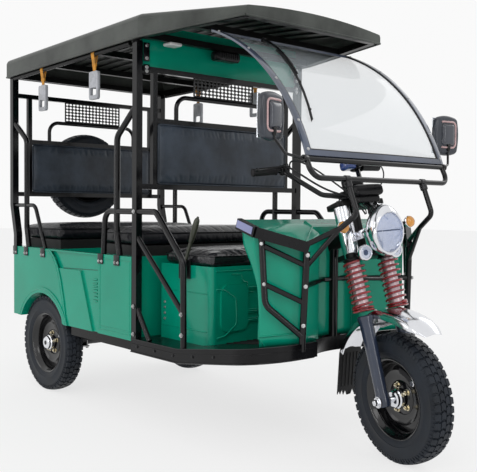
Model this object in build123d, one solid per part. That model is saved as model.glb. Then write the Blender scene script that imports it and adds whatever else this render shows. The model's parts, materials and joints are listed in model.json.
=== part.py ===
from build123d import *
import os
from math import asin, cos, radians, sin, tan

# Passenger electric tricycle. X points forward, Y to the vehicle's left and Z up.
# The ground is Z = 0 and the origin is under the middle of the vehicle. Millimetres.

os.makedirs("parts", exist_ok=True)

# Body's outer size
body_half_width = 540.0
body_rear_x = -1310.0
body_bottom_z = 395.0
body_top_z = 790.0

# Wheels and steering
wheelbase = 2050.0
rear_axle_x = -960.0
front_axle_x = rear_axle_x + wheelbase
tyre_radius = 265.0
tyre_half_width = 50.0
tyre_crown = 62.0
tyre_shoulder = 22.0
bead_radius = 158.0
rim_half_width = 44.0
rim_flange = 164.0
rim_sheet = 5.0
hub_radius = 34.0
hub_half_length = 38.0
hub_back = 34.0
drum_radius = 78.0
rear_half_track = body_half_width - 65
axle_radius = 12.0
bearing_gap = 0.05
rake = 17.0
fork_offset = 45.0
rest_turn = -13.0

# Gaps and sheet thicknesses
seat_gap = 0.3
sheet = 3.0
wheel_gap = 15.0

# Body's inner stations
bench_front_x = body_rear_x + 460
middle_base_rear_x = -365.0
middle_base_front_x = -72.0
well_inner_y = rear_half_track - 70

# Frame
rail_height = 60.0
rail_width = 50.0
rail_top_z = 405.0
inner_rail_y = 300.0
outer_rail_y = body_half_width - 48
post_size = 36.0
side_y = body_half_width - 15
rear_post_x = body_rear_x - 24
middle_post_x = middle_base_front_x + 22
bar_size = 25.0
rail_tube = 14.0
slim_tube = 11.0
cross_bar_z = 1668.0

# Floor
floor_z = rail_top_z + sheet
floor_bend_x = 290.0
floor_front_x = 840.0
floor_rise = 75.0
floor_rim = 62.0
floor_corner = 180.0
wheel_notch_radius = 285.0

# Seats
seat_board = 50.0
cushion_thickness = 85.0
rear_cushion_depth = 440.0
middle_cushion_depth = 335.0
cushion_half_width = body_half_width - 50
driver_box_front_x = 352.0
driver_box_half_width = 400.0
driver_box_top_z = 762.0
driver_cushion_thickness = 72.0
backrest_height = 285.0
backrest_thickness = 44.0
backrest_forward = 6.0
backrest_half_width = side_y - 107

# Roof
roof_rear_x = rear_post_x - 27
roof_kink_x = 4.0
roof_front_x = 600.0
roof_sheet = 4.0
roof_skirt = 112.0
roof_low_z = 1768.0
roof_kink_rise = 27.0
roof_front_rise = 46.0
roof_half_width = body_half_width + 20
roof_front_half_width = roof_half_width - 130
roof_front_skirt = 44.0
roof_crown = 24.0
roof_tube = 30.0
handle_rail_y = roof_half_width - 22
handle_rail_radius = 11.0
handle_rail_rear_x = roof_rear_x + 61
handle_rail_front_x = middle_post_x - 40

# Windscreen and its lower frame
screen_half_width = roof_front_half_width + 4
screen_top = (385.0, 1782.0)
screen_middle = (700.0, 1602.0)
screen_foot = (957.0, 1225.0)
screen_sheet = 3.0
screen_drop = 72.0

# Spare wheel, flat behind the rear frame
spare_x = rear_post_x - 95
spare_z = 1215.0


def cylinder_between(start, end, radius):
    """Round bar from one point to another."""
    axis = Vector(*end) - Vector(*start)
    base = Plane(origin=start, z_dir=axis)
    return base * Cylinder(radius, axis.length, align=(Align.CENTER, Align.CENTER, Align.MIN))


def bent_tube(points, radius, bend):
    """Round tube along straight runs joined by arcs."""
    path = FilletPolyline(*points, radius=bend)
    section = Plane(origin=path @ 0, z_dir=path % 0) * Circle(radius)
    return sweep(section, path=path)


def bent_bar(points, size, bend):
    """Square tube along straight runs joined by arcs, in a plane of constant Y."""
    path = FilletPolyline(*points, radius=bend)
    section = Plane(origin=path @ 0, x_dir=(0, 1, 0), z_dir=path % 0) * Rectangle(size, size)
    return sweep(section, path=path)


def block(low, high):
    """Box between its lowest and its highest corner."""
    size = [b - a for a, b in zip(low, high)]
    centre = [(a + b) / 2 for a, b in zip(low, high)]
    return Pos(*centre) * Box(*size)


def mirrored(piece):
    """The piece's mirror image across the vehicle's middle plane."""
    return mirror(piece, about=Plane.XZ)


def both_sides(piece):
    """Two separate solids, one on each side of the vehicle."""
    return Compound(children=[piece, mirrored(piece)])


def side_profile(points, half_width):
    """Prism of an XZ outline, centred on the middle plane."""
    outline = Polyline(*[(x, 0, z) for x, z in points], close=True)
    return extrude(make_face(outline), amount=half_width, dir=(0, 1, 0), both=True)


def across(x, z, radius, low_y, high_y):
    """Cylinder along Y."""
    return cylinder_between((x, low_y, z), (x, high_y, z), radius)


# Floor heights
def floor_top(x):
    """Height of the front floor, which slopes up ahead of the driver's seat."""
    slope = floor_rise / (floor_front_x - floor_bend_x)
    return floor_z + max(0.0, x - floor_bend_x) * slope


def roof_low(x):
    """Height of the roof's lower edge."""
    if x < roof_kink_x:
        return roof_low_z + roof_kink_rise * (x - roof_rear_x) / (roof_kink_x - roof_rear_x)
    share = (x - roof_kink_x) / (roof_front_x - roof_kink_x)
    return roof_low_z + roof_kink_rise + (roof_front_rise - roof_kink_rise) * share


# Steering axis. Its frame has Z up along the axis and X forward, square to it.
turn_tilt = asin(sin(radians(abs(rest_turn))) * sin(radians(rake)))
front_axle_z = (tyre_radius - tyre_crown) * cos(turn_tilt) + tyre_crown
front_axle_z += fork_offset * (1 - cos(radians(rest_turn))) * sin(radians(rake))
axis_forward = Vector(cos(radians(rake)), 0, sin(radians(rake)))
axis_up = Vector(-sin(radians(rake)), 0, cos(radians(rake)))
axis_foot = Vector(front_axle_x, 0, front_axle_z) - axis_forward * fork_offset
steer_frame = Plane(origin=axis_foot, x_dir=axis_forward, z_dir=axis_up)
steered = steer_frame.location * Rot(0, 0, rest_turn)
unsteered = steer_frame.location


# Chassis
cross_width = 50.0
rear_cross_x = body_rear_x + 30
rail_end_x = 700.0
tow_hole_z = 375.0
tow_hole_spacing = 80.0
tow_hole_radius = 5.5


def chassis_frame():
    """Two bent inner rails, two short outer rails, cross members and spring hangers."""
    low = rail_top_z - rail_height
    rise = floor_top(rail_end_x) - floor_z
    outline = [
        (body_rear_x + sheet, low),
        (floor_bend_x, low),
        (rail_end_x, low + rise),
        (rail_end_x, rail_top_z + rise),
        (floor_bend_x, rail_top_z),
        (body_rear_x + sheet, rail_top_z),
    ]
    rail = side_profile(outline, rail_width / 2)
    frame = Pos(0, inner_rail_y, 0) * rail + Pos(0, -inner_rail_y, 0) * rail
    outer_start = rear_axle_x + tyre_radius + wheel_gap + 5
    for side in (-1, 1):
        y = side * outer_rail_y
        frame += block(
            (outer_start, y - rail_width / 2, low),
            (floor_bend_x, y + rail_width / 2, rail_top_z),
        )
    wide = outer_rail_y + rail_width / 2
    narrow = inner_rail_y + rail_width / 2
    crosses = [
        (rear_cross_x, narrow),
        (outer_start + 35, wide),
        (middle_base_rear_x + 15, wide),
        (middle_post_x + 10, wide),
        (floor_bend_x - 35, wide),
        (rail_end_x - 40, narrow),
    ]
    for x, reach in crosses:
        top = floor_top(x - rail_width / 2) - sheet
        frame += block((x - cross_width / 2, -reach, top - 40), (x + cross_width / 2, reach, top))
    for side in (-1, 1):
        for x in (rear_axle_x - spring_half_length, rear_axle_x + spring_half_length):
            y = side * inner_rail_y
            hanger = block((x - 18, y - 25, spring_eye_z - 16), (x + 18, y + 25, low))
            slot_half = spring_width / 2 + seat_gap
            slot_low = (x - 30, y - slot_half, spring_eye_z - 20)
            slot = block(slot_low, (x + 30, y + slot_half, spring_eye_z + 16))
            frame += hanger - slot
            frame += across(x, spring_eye_z, spring_pin_radius, y - 22, y + 22)
    for y in (-tow_hole_spacing / 2, tow_hole_spacing / 2):
        hole_start = (rear_cross_x - 40, y, tow_hole_z)
        hole_end = (rear_cross_x + 40, y, tow_hole_z)
        frame -= cylinder_between(hole_start, hole_end, tow_hole_radius)
    return frame


spring_half_length = rear_axle_x - body_rear_x - 50
spring_eye_z = 326.0
spring_width = 42.0
leaf_thickness = 6.0
spring_eye_radius = 12.0
spring_pin_radius = 6.0


def leaf_springs():
    """A pack of leaves under each inner rail, with rolled eyes on the hangers' pins."""
    packs = []
    axle_top = tyre_radius + axle_housing_radius + seat_gap
    for side in (-1, 1):
        y = side * inner_rail_y
        left = y - spring_width / 2
        right = y + spring_width / 2
        top = spring_eye_z + leaf_thickness / 2
        pack = block((rear_axle_x - 42, left, axle_top), (rear_axle_x + 42, right, top))
        for row, share in enumerate((1.0, 0.78, 0.56, 0.34)):
            half = spring_half_length * share
            high = top - row * leaf_thickness
            low = high - leaf_thickness
            pack += block((rear_axle_x - half, left, low), (rear_axle_x + half, right, high))
        for x in (rear_axle_x - spring_half_length, rear_axle_x + spring_half_length):
            pack += across(x, spring_eye_z, spring_eye_radius, left, right)
            pack -= across(x, spring_eye_z, spring_pin_radius + seat_gap, left - 5, right + 5)
        packs.append(pack)
    return Compound(children=packs)


axle_housing_radius = 36.0
axle_housing_half = rear_half_track - 75
differential_radius = 105.0
differential_y = 60.0
motor_radius = 82.0


def rear_axle():
    """Live axle housing with its differential, flanges, stub shafts and the drive motor."""
    z = tyre_radius
    body = across(rear_axle_x, z, axle_housing_radius, -axle_housing_half, axle_housing_half)
    case = Sphere(differential_radius) & Box(190, 150, 260)
    body += Pos(rear_axle_x, differential_y, z) * case
    body += across(rear_axle_x, z, differential_radius * 0.62, differential_y - 130, differential_y + 110)
    for start, end, radius in ((60, 130, motor_radius - 20), (120, 390, motor_radius)):
        near = (rear_axle_x + start, differential_y, z + 6)
        far = (rear_axle_x + end, differential_y, z + 6)
        body += cylinder_between(near, far, radius)
    for side in (-1, 1):
        inner = side * axle_housing_half
        outer = side * (rear_half_track + hub_half_length + 8)
        body += across(rear_axle_x, z, 70, min(inner - 8 * side, inner), max(inner - 8 * side, inner))
        body += across(rear_axle_x, z, axle_radius, min(inner, outer), max(inner, outer))
    return body


battery_half_width = 330.0
battery_height = 250.0


def battery_pack():
    """Plain block of the batteries, in the closed box under the middle bench."""
    low = (middle_base_rear_x + 25, -battery_half_width, floor_z)
    high = (middle_base_front_x - 38, battery_half_width, floor_z + battery_height)
    return block(low, high)


# Floors

def floor_plan(shrink):
    """Plan of the front floor, rounded ahead and cut back round the front wheel's sweep."""
    rear = middle_base_front_x - shrink
    front = floor_front_x - shrink
    half = body_half_width - shrink
    plate = block((rear, -half, 200), (front, half, 700))
    corners = plate.edges().filter_by(Axis.Z).group_by(Axis.X)[-1]
    plate = fillet(corners, floor_corner - shrink)
    notch_x = axis_foot.X - (floor_z - axis_foot.Z) * tan(radians(rake))
    return plate - Pos(notch_x, 0, 400) * Cylinder(wheel_notch_radius + shrink, 900)


def floor_slab(top_drop, depth):
    """Prism under the floor's top line."""
    rear = middle_base_front_x - 20
    top = [(x, floor_top(x) - top_drop) for x in (rear, floor_bend_x, floor_front_x + 20)]
    low = [(x, z - depth) for x, z in reversed(top)]
    return side_profile(top + low, body_half_width + 20)


def front_floor():
    """Driver's floor: a pressed tray whose rim is the black channel round the front."""
    tray = floor_slab(0, floor_rim) & floor_plan(0)
    hollow = floor_slab(sheet, floor_rim) & floor_plan(sheet)
    return tray - hollow


def well_cutter(radius, inner_y):
    """Cylinders about the rear axle, one over each wheel."""
    one = across(rear_axle_x, tyre_radius, radius, inner_y, body_half_width + 5)
    return one + mirrored(one)


well_radius = tyre_radius + wheel_gap
arch_lip_radius = 312.0
arch_lip = 5.0
recess = 14.0
recess_step = (26.0, 131.0, 230.0)
recess_bend_z = 748.0
recess_top_z = 782.0
recess_seam_z = 694.0
recess_end_x = middle_base_rear_x - 6
louvre_count = 6
louvre_low_z = 560.0
louvre_pitch = 17.0


def panel_prism(points, near_y, far_y):
    """Prism of an XZ outline between two values of Y."""
    outline = Polyline(*[(x, near_y, z) for x, z in points], close=True)
    return extrude(make_face(outline), amount=far_y - near_y, dir=(0, 1, 0))


def recessed_panel(wall):
    """Sets the right wall ahead of the arch back behind a slanting step, with a raised field and louvres."""
    outer = -body_half_width
    inner = outer + recess
    foot_z = body_bottom_z - 5
    top_x, bend_x, foot_x = (rear_axle_x + offset for offset in recess_step)
    rear_edge = [(top_x, recess_top_z), (bend_x, recess_bend_z), (foot_x, foot_z)]
    front_edge = [(recess_end_x, foot_z), (recess_end_x, recess_top_z)]
    rim_rear = [(x - sheet, z) for x, z in rear_edge]
    rim_front = [(recess_end_x + sheet, foot_z), (recess_end_x + sheet, recess_top_z + sheet)]
    rim_rear[0] = (top_x - sheet, recess_top_z + sheet)
    keep = block((-2000, outer - 1, body_bottom_z), (2000, 0, 2000))
    tray = panel_prism(rim_rear + rim_front, outer, inner + sheet) & keep
    pocket = panel_prism(rear_edge + front_edge, outer - 1, inner)
    field = [
        (bend_x + 23, recess_seam_z),
        (recess_end_x - 179, recess_seam_z),
        (recess_end_x - 61, body_bottom_z),
        (foot_x + 3, body_bottom_z),
    ]
    panel = wall + tray - pocket
    panel += panel_prism(field, outer + 3, inner + 1) & keep
    for row in range(louvre_count):
        z = louvre_low_z + row * louvre_pitch
        panel += block((recess_end_x - 57, inner - 7, z), (recess_end_x - 7, inner + 1, z + 7))
    return panel


floor_rib_half_width = 20.0
floor_rib_height = 4.0


def passenger_floor():
    """Ribbed floor sheet between the benches."""
    rear = bench_front_x - sheet
    half = body_half_width - 27
    plate = block((rear, -half, rail_top_z), (middle_base_front_x - seat_gap, half, floor_z))
    for y in range(-360, 361, 120):
        low = (bench_front_x + 40, y - floor_rib_half_width, floor_z)
        high = (middle_base_rear_x - 40, y + floor_rib_half_width, floor_z + floor_rib_height)
        plate += block(low, high)
    return plate - well_cutter(well_radius + sheet + seat_gap, well_inner_y - sheet - seat_gap)


# Body panels

panel_ledge = 34.0


def rear_body():
    """Sheet shell under the rear bench, with arches, wheel wells and the closed right side."""
    half = body_half_width
    shell = block((body_rear_x, -half, body_bottom_z), (bench_front_x, half, body_top_z))
    shell -= block(
        (body_rear_x + sheet, -half + sheet, body_bottom_z - 1),
        (bench_front_x - sheet, half - sheet, body_top_z - sheet),
    )
    shell -= block(
        (bench_front_x - sheet - 1, -half + sheet, body_bottom_z - 1),
        (bench_front_x + 1, half - sheet, floor_z),
    )
    well_front = rear_axle_x + well_radius + sheet + 12
    right_end = middle_base_rear_x - seat_gap
    for side, end in ((-1, right_end), (1, well_front)):
        outer, inner = side * half, side * (half - sheet)
        wall = block(
            (bench_front_x - sheet, min(outer, inner), body_bottom_z),
            (end, max(outer, inner), body_top_z),
        )
        shell += wall
        ledge = side * (half - panel_ledge)
        shell += block(
            (bench_front_x - sheet, min(outer, ledge), body_top_z - sheet),
            (end, max(outer, ledge), body_top_z),
        )
    shell -= well_cutter(well_radius, well_inner_y)
    tunnel = well_cutter(well_radius + sheet, well_inner_y - sheet) - well_cutter(well_radius, well_inner_y)
    keep = block((body_rear_x, -half, body_bottom_z), (well_front, half, body_top_z))
    trimmed = tunnel & keep
    skin_cut = block((-2000, -half + sheet, 0), (2000, half - sheet, 2000))
    shell = recessed_panel(shell + (trimmed & skin_cut))
    lip = across(rear_axle_x, tyre_radius, arch_lip_radius, half - 1, half + arch_lip)
    lip -= across(rear_axle_x, tyre_radius, well_radius, half - 2, half + arch_lip + 1)
    lip = lip & block((-2000, 0, body_bottom_z), (0, 2000, body_top_z))
    return shell + lip + mirrored(lip)


def side_panels():
    """Flat outer panels at the ends of the middle seat's base, with a turned top edge."""
    half = body_half_width
    panel = block(
        (middle_base_rear_x, half - sheet, body_bottom_z),
        (middle_base_front_x, half, body_top_z),
    )
    panel += block(
        (middle_base_rear_x, half - panel_ledge, body_top_z - sheet),
        (middle_base_front_x, half, body_top_z),
    )
    return both_sides(panel)


def middle_seat_base():
    """Sheet box under the middle bench."""
    half = body_half_width - panel_ledge - seat_gap
    box = block((middle_base_rear_x, -half, floor_z), (middle_base_front_x - seat_gap, half, body_top_z))
    box -= block(
        (middle_base_rear_x + sheet, -half + sheet, floor_z - 1),
        (middle_base_front_x - seat_gap - sheet, half - sheet, body_top_z - sheet),
    )
    return box


box_corner = 28.0
box_form = (190.0, 350.0, 470.0, 680.0)
box_rib_heights = (505.0, 545.0, 655.0)


def driver_seat_box():
    """Pressed box that carries the driver's seat, with rounded front posts, side forms and ribs."""
    rear = middle_post_x + post_size / 2 + 8
    front = driver_box_front_x
    half = driver_box_half_width
    box = block((rear, -half, floor_z), (front, half, driver_box_top_z))
    box = fillet(box.edges().filter_by(Axis.Z).group_by(Axis.X)[-1], box_corner)
    inside = block(
        (rear + sheet, -half + sheet, floor_z - 1),
        (front - sheet, half - sheet, driver_box_top_z - sheet),
    )
    box -= fillet(inside.edges().filter_by(Axis.Z).group_by(Axis.X)[-1], box_corner - sheet)
    near_y, far_y, low_z, high_z = box_form
    for left, right in ((-far_y, -near_y), (near_y, far_y)):
        form = block((front - 2, left, low_z), (front + 11, right, high_z))
        box += fillet(form.edges().filter_by(Axis.X), 40)
    for z in box_rib_heights:
        box += block((front - 1, -near_y - 5, z), (front + 8, near_y + 5, z + 16))
    return box - (floor_slab(0, 400) & block((0, -900, 0), (2000, 900, 2000)))


# Seats

def cushion(low, high, corner):
    """Closed block with rounded upright edges."""
    body = block(low, high)
    return fillet(body.edges().filter_by(Axis.Z), corner)


bench_rear_x = body_rear_x + 20
middle_bench_front_x = middle_post_x - post_size / 2 - 8
cushion_corner = 30.0


def bench_cushion(rear, front):
    """Cushion of a passenger bench, on its board."""
    low = (rear, -cushion_half_width, body_top_z + seat_board)
    high = (front, cushion_half_width, body_top_z + seat_board + cushion_thickness)
    return cushion(low, high, cushion_corner)


def rear_seat_cushion():
    """Cushion of the rear bench."""
    return bench_cushion(bench_rear_x, bench_rear_x + rear_cushion_depth)


def middle_seat_cushion():
    """Cushion of the middle bench, which faces the rear one."""
    return bench_cushion(middle_bench_front_x - middle_cushion_depth, middle_bench_front_x)


def seat_boards():
    """Boards that carry the two bench cushions."""
    half = cushion_half_width - 12
    top = body_top_z + seat_board - seat_gap
    boards = []
    for rear, front in (
        (bench_rear_x + 10, bench_rear_x + rear_cushion_depth - 15),
        (middle_bench_front_x - middle_cushion_depth + 15, middle_bench_front_x - 10),
    ):
        boards.append(block((rear, -half, body_top_z), (front, half, top)))
    return Compound(children=boards)


def driver_seat_cushion():
    """Cushion on the driver's box."""
    low = (middle_post_x + 42, -driver_box_half_width, driver_box_top_z + seat_gap)
    top = driver_box_top_z + driver_cushion_thickness
    high = (driver_box_front_x + 8, driver_box_half_width, top)
    return cushion(low, high, cushion_corner)


# Upper frames, one table for both: post plane, backrest foot, lower end of the posts
rear_backrest_z = 1106.0
middle_backrest_z = 1133.0


def cross_frame(x, backrest_z, top_z):
    """Cross bar under the roof and the frame round a backrest, welded between two posts."""
    half = bar_size / 2
    inner = side_y - post_size / 2
    upright_y = backrest_half_width + half + seat_gap
    low_z = backrest_z - half - seat_gap
    high_z = backrest_z + backrest_height + half + seat_gap
    frame = block((x - half, -inner, cross_bar_z - half), (x + half, inner, cross_bar_z + half))
    frame += block((x - half, -inner, low_z - half), (x + half, inner, low_z + half))
    frame += block((x - half, -upright_y, high_z - half), (x + half, upright_y, high_z + half))
    for side in (-1, 1):
        y = side * upright_y
        frame += block((x - half, y - half, low_z), (x + half, y + half, cross_bar_z))
    return frame


def rear_post_frame():
    """Rear posts, bent forward to their feet on the body, with the cross frame."""
    foot_x = rear_post_x + 46
    top = roof_low(rear_post_x) - seat_gap
    points = [
        (rear_post_x, side_y, top),
        (rear_post_x, side_y, body_top_z + 240),
        (foot_x, side_y, body_top_z + 70),
        (foot_x, side_y, body_top_z),
    ]
    post = bent_bar(points, post_size, 60)
    return post + mirrored(post) + cross_frame(rear_post_x, rear_backrest_z, top)


def middle_post_frame():
    """Middle posts from the front floor to the roof, with the cross frame."""
    top = roof_low(middle_post_x - post_size / 2) - seat_gap
    half = post_size / 2
    post = block((middle_post_x - half, side_y - half, floor_z), (middle_post_x + half, side_y + half, top))
    post = post & block((middle_post_x - half, 0, 0), (middle_post_x + half, body_half_width, 3000))
    return post + mirrored(post) + cross_frame(middle_post_x, middle_backrest_z, top)


def backrest(x, low_z):
    """Upholstered panel inside the frame of one post plane."""
    centre = x + backrest_forward
    low = (centre - backrest_thickness / 2, -backrest_half_width, low_z)
    high = (centre + backrest_thickness / 2, backrest_half_width, low_z + backrest_height)
    return block(low, high)


strap_y = 50.0
strap_width = 28.0
strap_sheet = 8.0


def spare_carrier():
    """Two straps across the rear frame's bars, with the stud that holds the spare wheel."""
    bar_rear = rear_post_x - bar_size / 2
    strap_front = rear_post_x + backrest_forward - backrest_thickness / 2 - seat_gap
    low_bar = rear_backrest_z - bar_size / 2 - seat_gap
    high_bar = rear_backrest_z + backrest_height + bar_size / 2 + seat_gap
    half = bar_size / 2
    rear = strap_front - strap_sheet
    carrier = block((rear, -strap_y - 12, spare_z - 40), (strap_front, strap_y + 12, spare_z + 40))
    for y in (-strap_y, strap_y):
        left, right = y - strap_width / 2, y + strap_width / 2
        carrier += block((rear, left, low_bar - half), (strap_front, right, high_bar + half))
        for z in (low_bar, high_bar):
            carrier += block((rear, left, z - half), (bar_rear, right, z + half))
    hub_face = spare_x + hub_back
    nut_face = spare_x - hub_half_length
    for start, end, radius in (
        (strap_front - 4, hub_face, 22),
        (hub_face, nut_face - 14, axle_radius),
        (nut_face, nut_face - 12, 20),
    ):
        carrier += cylinder_between((start, 0, spare_z), (end, 0, spare_z), radius)
    return carrier


post_planes = ((rear_post_x, rear_backrest_z), (middle_post_x, middle_backrest_z))
rack_height = 112.0
rack_half_width = 300.0
mesh_half_width = 192.0
mesh_thickness = 6.0


def rack_foot(backrest_z):
    """Height at which a rack stands on the backrest's frame."""
    return backrest_z + backrest_height + bar_size + seat_gap


def racks():
    """Round hoops that stand on the backrest frames."""
    hoops = []
    for x, backrest_z in post_planes:
        foot = rack_foot(backrest_z)
        top = foot + rack_height
        half = rack_half_width
        points = [(x, -half, foot), (x, -half, top), (x, half, top), (x, half, foot)]
        hoops.append(bent_tube(points, slim_tube, 60))
    return Compound(children=hoops)


def mesh_panels():
    """Perforated panels between the racks and the cross bars."""
    panels = []
    for x, backrest_z in post_planes:
        low = (x - mesh_thickness / 2, -mesh_half_width, rack_foot(backrest_z) + rack_height + slim_tube)
        high = (x + mesh_thickness / 2, mesh_half_width, cross_bar_z - bar_size / 2)
        panels.append(block(low, high))
    return Compound(children=panels)


grab_tube = 15.0
arm_height = 1028.0
hoop_height = 1003.0
brace_tube = rail_tube - 2


def rear_side_rails(posts):
    """Grab tube and armrest beside the rear bench, coped to the rear post."""
    x = rear_post_x
    grab_path = [(x, 1512), (x + 160, 1400), (x + 160, 900), (x + 185, body_top_z)]
    arm_path = [(x, arm_height), (x + 262, arm_height), (x + 385, body_top_z)]
    grab = bent_tube([(px, side_y, pz) for px, pz in grab_path], grab_tube, 50)
    arm = bent_tube([(px, side_y, pz) for px, pz in arm_path], slim_tube, 55)
    body = block((-2000, 0, 0), (0, 2000, body_top_z))
    return both_sides(grab + arm - posts - body)


def middle_side_rails(posts):
    """Grab tube, guard hoop and front leg beside the middle bench, coped to the middle post."""
    x = middle_post_x
    leg_x = x + 368
    grab_path = [(x, 1500), (x - 170, 1360), (x - 170, 900), (x - 145, body_top_z)]
    hoop_path = [
        (x - 290, body_top_z),
        (x - 275, hoop_height),
        (x + 155, hoop_height),
        (leg_x - 6, body_top_z),
        (leg_x, floor_top(leg_x) - 5),
    ]
    grab = bent_tube([(px, side_y, pz) for px, pz in grab_path], grab_tube, 50)
    hoop = bent_tube([(px, side_y, pz) for px, pz in hoop_path], rail_tube, [55, 45, 60])
    body = block((-2000, 0, 0), (middle_base_front_x, 2000, body_top_z))
    return both_sides(grab + hoop - posts - body - floor_slab(0, 300))


def guard_braces(posts, rails):
    """Diagonal braces between the middle post and the front leg of the hoop."""
    x = middle_post_x
    upper = cylinder_between((x, side_y, 890), (x + 366, side_y, 560), brace_tube)
    lower = cylinder_between((x, side_y, 560), (x + 110, side_y, floor_z + 2), brace_tube)
    floor_cut = block((-500, 0, 0), (500, 900, floor_z))
    pair = Compound(children=[upper - posts - rails, lower - posts - floor_cut])
    return Compound(children=[*pair.solids(), *mirrored(pair).solids()])


# Roof

roof_corner = 36.0
roof_front_corner = 16.0


def roof_section(x, half, low_z, high_z, crown, corner):
    """Closed YZ outline with rounded shoulders and a low crown."""
    shoulder = corner * 0.29
    right = [
        (x, -half, high_z - corner),
        (x, -half + shoulder, high_z - shoulder),
        (x, -half + corner, high_z),
    ]
    left = [(px, -py, pz) for px, py, pz in reversed(right)]
    edges = [
        Line((x, -half, low_z), right[0]),
        ThreePointArc(*right),
        ThreePointArc(right[-1], (x, 0, high_z + crown), left[0]),
        ThreePointArc(*left),
        Line(left[-1], (x, half, low_z)),
        Line((x, half, low_z), (x, -half, low_z)),
    ]
    return make_face(edges)


def roof_body(wall, drop):
    """Solid of the roof's outer form, or of its inside when a wall is taken off."""
    stations = [
        (roof_rear_x + wall, roof_half_width, roof_skirt - 4, roof_corner),
        (roof_kink_x, roof_half_width, roof_skirt, roof_corner),
        (roof_front_x - wall, roof_front_half_width, roof_front_skirt, roof_front_corner),
    ]
    faces = []
    for x, half, skirt, corner in stations:
        low = roof_low(x)
        section = roof_section(
            x, half - wall, low - drop, low + skirt - wall, roof_crown, corner - wall
        )
        faces.append(section)
    rear = loft(faces[:2], ruled=True)
    front = loft(faces[1:], ruled=True)
    return rear + front


def roof_shell():
    """Moulded roof, an open tray upside down, higher over the middle posts."""
    outer = roof_body(0, 0)
    return outer - roof_body(roof_sheet, 2)


def roof_frame():
    """Square tubes inside the skirt, with cross members, two ribs and the rails for the handles."""
    half = roof_tube / 2
    inset = roof_sheet + 1.0 + half
    reach = roof_half_width - inset
    front_reach = roof_front_half_width - inset - 8
    rear_x, front_x = roof_rear_x + inset, roof_front_x - inset - 4
    stations = [(rear_x, reach), (roof_kink_x, reach), (front_x, front_reach)]
    runs = []
    for side in (-1, 1):
        for (x0, y0), (x1, y1) in zip(stations, stations[1:]):
            start = Vector(x0, side * y0, roof_low(x0) + half)
            end = Vector(x1, side * y1, roof_low(x1) + half)
            length = (end - start).length
            run = Plane(origin=start, x_dir=(0, 1, 0), z_dir=end - start)
            runs.append(run * Pos(0, 0, length / 2) * Box(roof_tube, roof_tube, length))
    taper = (roof_half_width - roof_front_half_width) / (roof_front_x - roof_kink_x)
    for x in (rear_x, roof_rear_x + 461, roof_rear_x + 911, roof_kink_x + 6, roof_kink_x + 296):
        wide = reach - max(0.0, x - roof_kink_x) * taper
        runs.append(Pos(x, 0, roof_low(x) + half) * Box(roof_tube, 2 * wide, roof_tube))
    runs.append(Pos(front_x, 0, roof_low(front_x) + half) * Box(roof_tube, 2 * front_reach, roof_tube))
    frame = runs[0]
    for run in runs[1:]:
        frame += run
    for y in (-handle_rail_y, handle_rail_y):
        ends = [(x, y, roof_low(x) - 8) for x in (handle_rail_rear_x, handle_rail_front_x)]
        frame += cylinder_between(*ends, handle_rail_radius)
    return frame


header_sheet = 4.0


def header_panel():
    """Sheet panel from the middle cross bar up into the roof, with a lip at its lower edge."""
    low = cross_bar_z + bar_size / 2
    half = side_y - post_size / 2 - seat_gap
    rear = middle_post_x - header_sheet / 2
    high = roof_low(middle_post_x) + 84
    panel = block((rear, -half, low), (rear + header_sheet, half, high))
    return panel + block((rear, -half, low), (middle_post_x + bar_size / 2, half, low + header_sheet))


# Windscreen

def screen_line():
    """Side profile of the windscreen, one arc from the roof to its foot."""
    return ThreePointArc(*[(x, 0, z) for x, z in (screen_top, screen_middle, screen_foot)])


def screen_solid(low_offset, high_offset, half_width):
    """Curved sheet between two offsets from the screen line."""
    def shifted(amount):
        arc = screen_line()
        points = []
        for share in (0.0, 0.5, 1.0):
            tangent = arc % share
            outward = Vector(-tangent.Z, 0, tangent.X) * -1
            points.append(arc @ share + outward * amount)
        return ThreePointArc(*points)
    inner, outer = shifted(low_offset), shifted(high_offset)
    edges = [inner, Line(inner @ 1, outer @ 1), outer, Line(outer @ 0, inner @ 0)]
    return extrude(make_face(edges), amount=half_width, dir=(0, 1, 0), both=True)


def windscreen():
    """Clear curved sheet."""
    return screen_solid(0, screen_sheet, screen_half_width)


loop_x = screen_foot[0] + screen_drop * 0.48
loop_z = screen_foot[1] - slim_tube - 1 - screen_drop


def windscreen_frame():
    """Tube under the screen's foot and the wide U that hangs below it."""
    x, z = screen_foot
    low = z - slim_tube - 1
    tube = across(x, low, slim_tube, -screen_half_width - 14, screen_half_width + 14)
    right = [(x, -screen_half_width, low), (loop_x, -screen_half_width, loop_z)]
    left = [(px, -py, pz) for px, py, pz in reversed(right)]
    return tube + bent_tube(right + left, slim_tube, 48)


# Front guard and leg shield
shield_half_width = body_half_width - 60
shield_corner = (834.0, shield_half_width - 165)
shield_nose = (652.0, 130.0)


def leg_shield_body(wall):
    """Solid of the leg shield's outer form, or of its inside when a wall is taken off."""
    rear = 560.0 if wall == 0 else 500.0
    corner_x, corner_y = shield_corner
    nose_x, nose_y = shield_nose
    half = [
        (rear, shield_half_width - wall),
        (715.0 - wall * 0.45, shield_half_width - wall),
        (corner_x - wall * 1.6, corner_y - wall * 0.2),
        (nose_x + 48 - wall, nose_y - wall * 0.4),
        (nose_x - wall, nose_y - wall * 0.4),
    ]
    outline = half + [(x, -y) for x, y in reversed(half)]
    plan = make_face(Polyline(*[(x, y, 300) for x, y in outline], close=True))
    prism = extrude(plan, amount=800, dir=(0, 0, 1))
    drop = wall * 1.2
    top = [(300, 1150 - drop), (640, 978 - drop), (900, 836 - drop)]
    lift = seat_gap if wall == 0 else -30
    foot = [(x, floor_top(x) + lift) for x in (900, 300)]
    return prism & side_profile(top + foot, 600)


def leg_shield():
    """Faceted front shell with two corners thrust forward beside the wheel."""
    shell = leg_shield_body(0) - leg_shield_body(sheet)
    back_cut = side_profile([(300, 300), (728, 300), (640, 985), (640, 1200), (300, 1200)], 700)
    return shell - back_cut


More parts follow.
